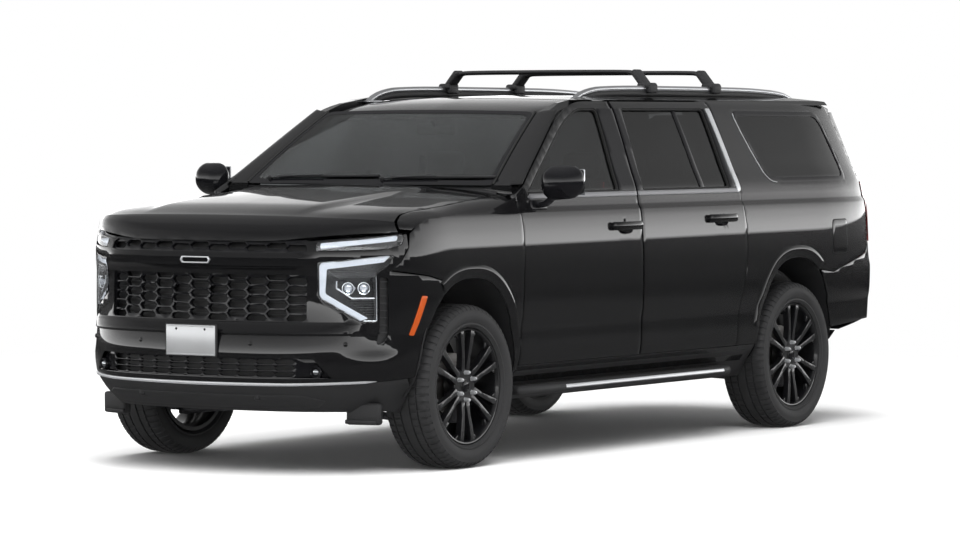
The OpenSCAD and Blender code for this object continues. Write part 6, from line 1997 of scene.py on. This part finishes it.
# ---- stage -------------------------------------------------------------------------------------
class SUV_OT_stage(bpy.types.Operator):
    """Pale floor, soft studio light and the camera"""
    bl_idname = "suv.stage"
    bl_label = "Stage"

    def execute(self, context):
        scene = context.scene
        scene.view_settings.view_transform = "Standard"
        camera = bpy.data.objects.new("camera", bpy.data.cameras.new("camera"))
        scene.collection.objects.link(camera)
        scene.camera = camera
        camera.data.sensor_width, camera.data.lens = 36.0, 157.2
        camera.location = (12.692, -19.605, 1.789)
        turn, drop = -0.5799, -0.0367
        aim = Vector((math.cos(drop) * math.sin(turn), math.cos(drop) * math.cos(turn), math.sin(drop)))
        camera.rotation_euler = aim.to_track_quat("-Z", "Y").to_euler()
        camera.data.clip_end = 400.0
        self.floor()
        self.lights(scene)
        return {"FINISHED"}

    def floor(self):
        bpy.ops.mesh.primitive_circle_add(vertices=96, radius=90.0, fill_type="NGON", location=(0, 0, 0))
        floor = bpy.context.object
        floor.name = "floor"
        made = bpy.data.materials.new("floor")
        made.use_nodes = True
        tree = made.node_tree
        shader = tree.nodes["Principled BSDF"]
        shader.inputs["Base Color"].default_value = (0.90, 0.90, 0.90, 1)
        shader.inputs["Roughness"].default_value = 0.9
        shader.inputs["Specular IOR Level"].default_value = 0.1
        place, reach = add(tree, "TexCoord"), add(tree, "VectorMath", operation="LENGTH")
        fade = add(tree, "MapRange", interpolation_type="SMOOTHSTEP", in1=3.0, in2=9.0, in3=0.0, in4=1.0)
        path, seen = add(tree, "LightPath"), add(tree, "Math", operation="MULTIPLY")
        white, blend = add(tree, "Emission", Color=(1, 1, 1, 1), Strength=1.0), add(tree, "MixShader")
        tree.links.new(place.outputs["Object"], reach.inputs[0])
        tree.links.new(reach.outputs["Value"], fade.inputs[0])
        tree.links.new(fade.outputs[0], seen.inputs[0])
        tree.links.new(path.outputs["Is Camera Ray"], seen.inputs[1])
        tree.links.new(seen.outputs[0], blend.inputs[0])
        tree.links.new(shader.outputs[0], blend.inputs[1])
        tree.links.new(white.outputs[0], blend.inputs[2])
        tree.links.new(blend.outputs[0], tree.nodes["Material Output"].inputs["Surface"])
        floor.data.materials.append(made)

    def lights(self, scene):
        world = bpy.data.worlds.new("studio")
        scene.world = world
        world.use_nodes = True
        tree = world.node_tree
        background = tree.nodes["Background"]
        background.inputs["Color"].default_value = (1, 1, 1, 1)
        path = add(tree, "LightPath")
        seen = add(tree, "Math", operation="MAXIMUM")
        seen_all = add(tree, "Math", operation="MAXIMUM")
        level = add(tree, "MapRange", in3=0.60, in4=1.0)
        tree.links.new(path.outputs["Is Camera Ray"], seen.inputs[0])
        tree.links.new(path.outputs["Is Glossy Ray"], seen.inputs[1])
        tree.links.new(seen.outputs[0], seen_all.inputs[0])
        tree.links.new(path.outputs["Is Transmission Ray"], seen_all.inputs[1])
        tree.links.new(seen_all.outputs[0], level.inputs[0])
        tree.links.new(level.outputs[0], background.inputs["Strength"])
        for name, place, size, power in (
            ("key", (3.5, -6.0, 8.0), (9, 7), 950), ("top", (-1.0, 1.0, 9.0), (8, 11), 900)):
            lamp = bpy.data.lights.new(name, "AREA")
            lamp.shape, lamp.size, lamp.size_y, lamp.energy = "RECTANGLE", size[0], size[1], power
            holder = bpy.data.objects.new(name, lamp)
            holder.visible_glossy = False
            scene.collection.objects.link(holder)
            holder.location = place
            holder.rotation_euler = (Vector((0, 0, 0.6)) - Vector(place)).to_track_quat("-Z", "Y").to_euler()
        self.studio_dome()

    def studio_dome(self):
        """The studio as gloss sees it: a dark floor, a bright band along the horizon and a dim ceiling."""
        reach = 30.0
        bpy.ops.mesh.primitive_uv_sphere_add(
            segments=64, ring_count=48, radius=reach, location=(0, 0, 0.002))
        dome = settle(bpy.context.object)
        for vertex in dome.data.vertices:
            vertex.co.z = max(vertex.co.z, 0.002)
        dome.name = "studio_dome"
        dome.visible_camera = dome.visible_diffuse = dome.visible_shadow = dome.visible_transmission = False
        made = bpy.data.materials.new("studio_dome")
        made.use_nodes = True
        tree = made.node_tree
        tree.nodes.remove(tree.nodes["Principled BSDF"])
        place, split = add(tree, "TexCoord"), add(tree, "SeparateXYZ")
        height = add(tree, "MapRange", in1=0.0, in2=reach)
        ramp_node = add(tree, "ValToRGB")
        levels = ((0.0, 0.004), (0.0490, 0.006), (0.0505, 1.0), (0.09, 0.72), (0.20, 0.34), (0.36, 0.15),
                  (0.60, 0.06), (1.0, 0.10))
        stops = ramp_node.color_ramp.elements
        for _ in range(len(levels) - 2):
            stops.new(0.5)
        for stop, (at, level) in zip(stops, levels):
            stop.position, stop.color = at, (level, level, level, 1)
        glow = add(tree, "Emission", Strength=3.6)
        tree.links.new(place.outputs["Object"], split.inputs[0])
        tree.links.new(split.outputs["Z"], height.inputs[0])
        tree.links.new(height.outputs[0], ramp_node.inputs[0])
        near = add(tree, "VectorMath", operation="LENGTH")
        patch_of_floor = add(tree, "MapRange", interpolation_type="SMOOTHSTEP", in1=13.0, in2=5.0, in3=0.0,
                             in4=0.035)
        total = add(tree, "Mix", data_type="RGBA", blend_type="ADD", in0=1.0)
        tree.links.new(place.outputs["Object"], near.inputs[0])
        tree.links.new(near.outputs["Value"], patch_of_floor.inputs[0])
        tree.links.new(ramp_node.outputs[0], total.inputs[6])
        tree.links.new(patch_of_floor.outputs[0], total.inputs[7])
        tree.links.new(total.outputs[2], glow.inputs["Color"])
        tree.links.new(glow.outputs[0], tree.nodes["Material Output"].inputs["Surface"])
        dome.data.materials.append(made)


class SUV_PT_panel(bpy.types.Panel):
    """Lists the sizes and the pieces"""
    bl_idname = "SUV_PT_panel"
    bl_label = "Family SUV"
    bl_space_type = "VIEW_3D"
    bl_region_type = "UI"
    bl_category = "Family SUV"

    def draw(self, context):
        for key in ("paint", "lamp_glow", "skin", "panel_edge", "cell"):
            self.layout.prop(context.scene.suv_looks, key)
        for piece in PIECES:
            self.layout.operator(piece.bl_idname)


PIECES = (SUV_OT_stage, SUV_OT_hood, SUV_OT_fenders, SUV_OT_doors, SUV_OT_roof, SUV_OT_bumper, SUV_OT_lamps,
          SUV_OT_windshield, SUV_OT_wheels, SUV_OT_side_trim, SUV_OT_roof_trim, SUV_OT_tail, SUV_OT_cabin,
          SUV_OT_engine_bay, SUV_OT_underside)
CLASSES = (SuvLooks, *PIECES, SUV_PT_panel)


def register():
    """Adds the classes and the scene's settings."""
    for kind in CLASSES:
        bpy.utils.register_class(kind)
    bpy.types.Scene.suv_looks = bpy.props.PointerProperty(type=SuvLooks)


def unregister():
    """Takes them away again."""
    del bpy.types.Scene.suv_looks
    for kind in reversed(CLASSES):
        bpy.utils.unregister_class(kind)


def main():
    """Builds every piece."""
    register()
    make_materials(looks())
    for piece in PIECES:
        group, name = piece.bl_idname.split(".")
        getattr(getattr(bpy.ops, group), name)()


if __name__ == "__main__":
    main()
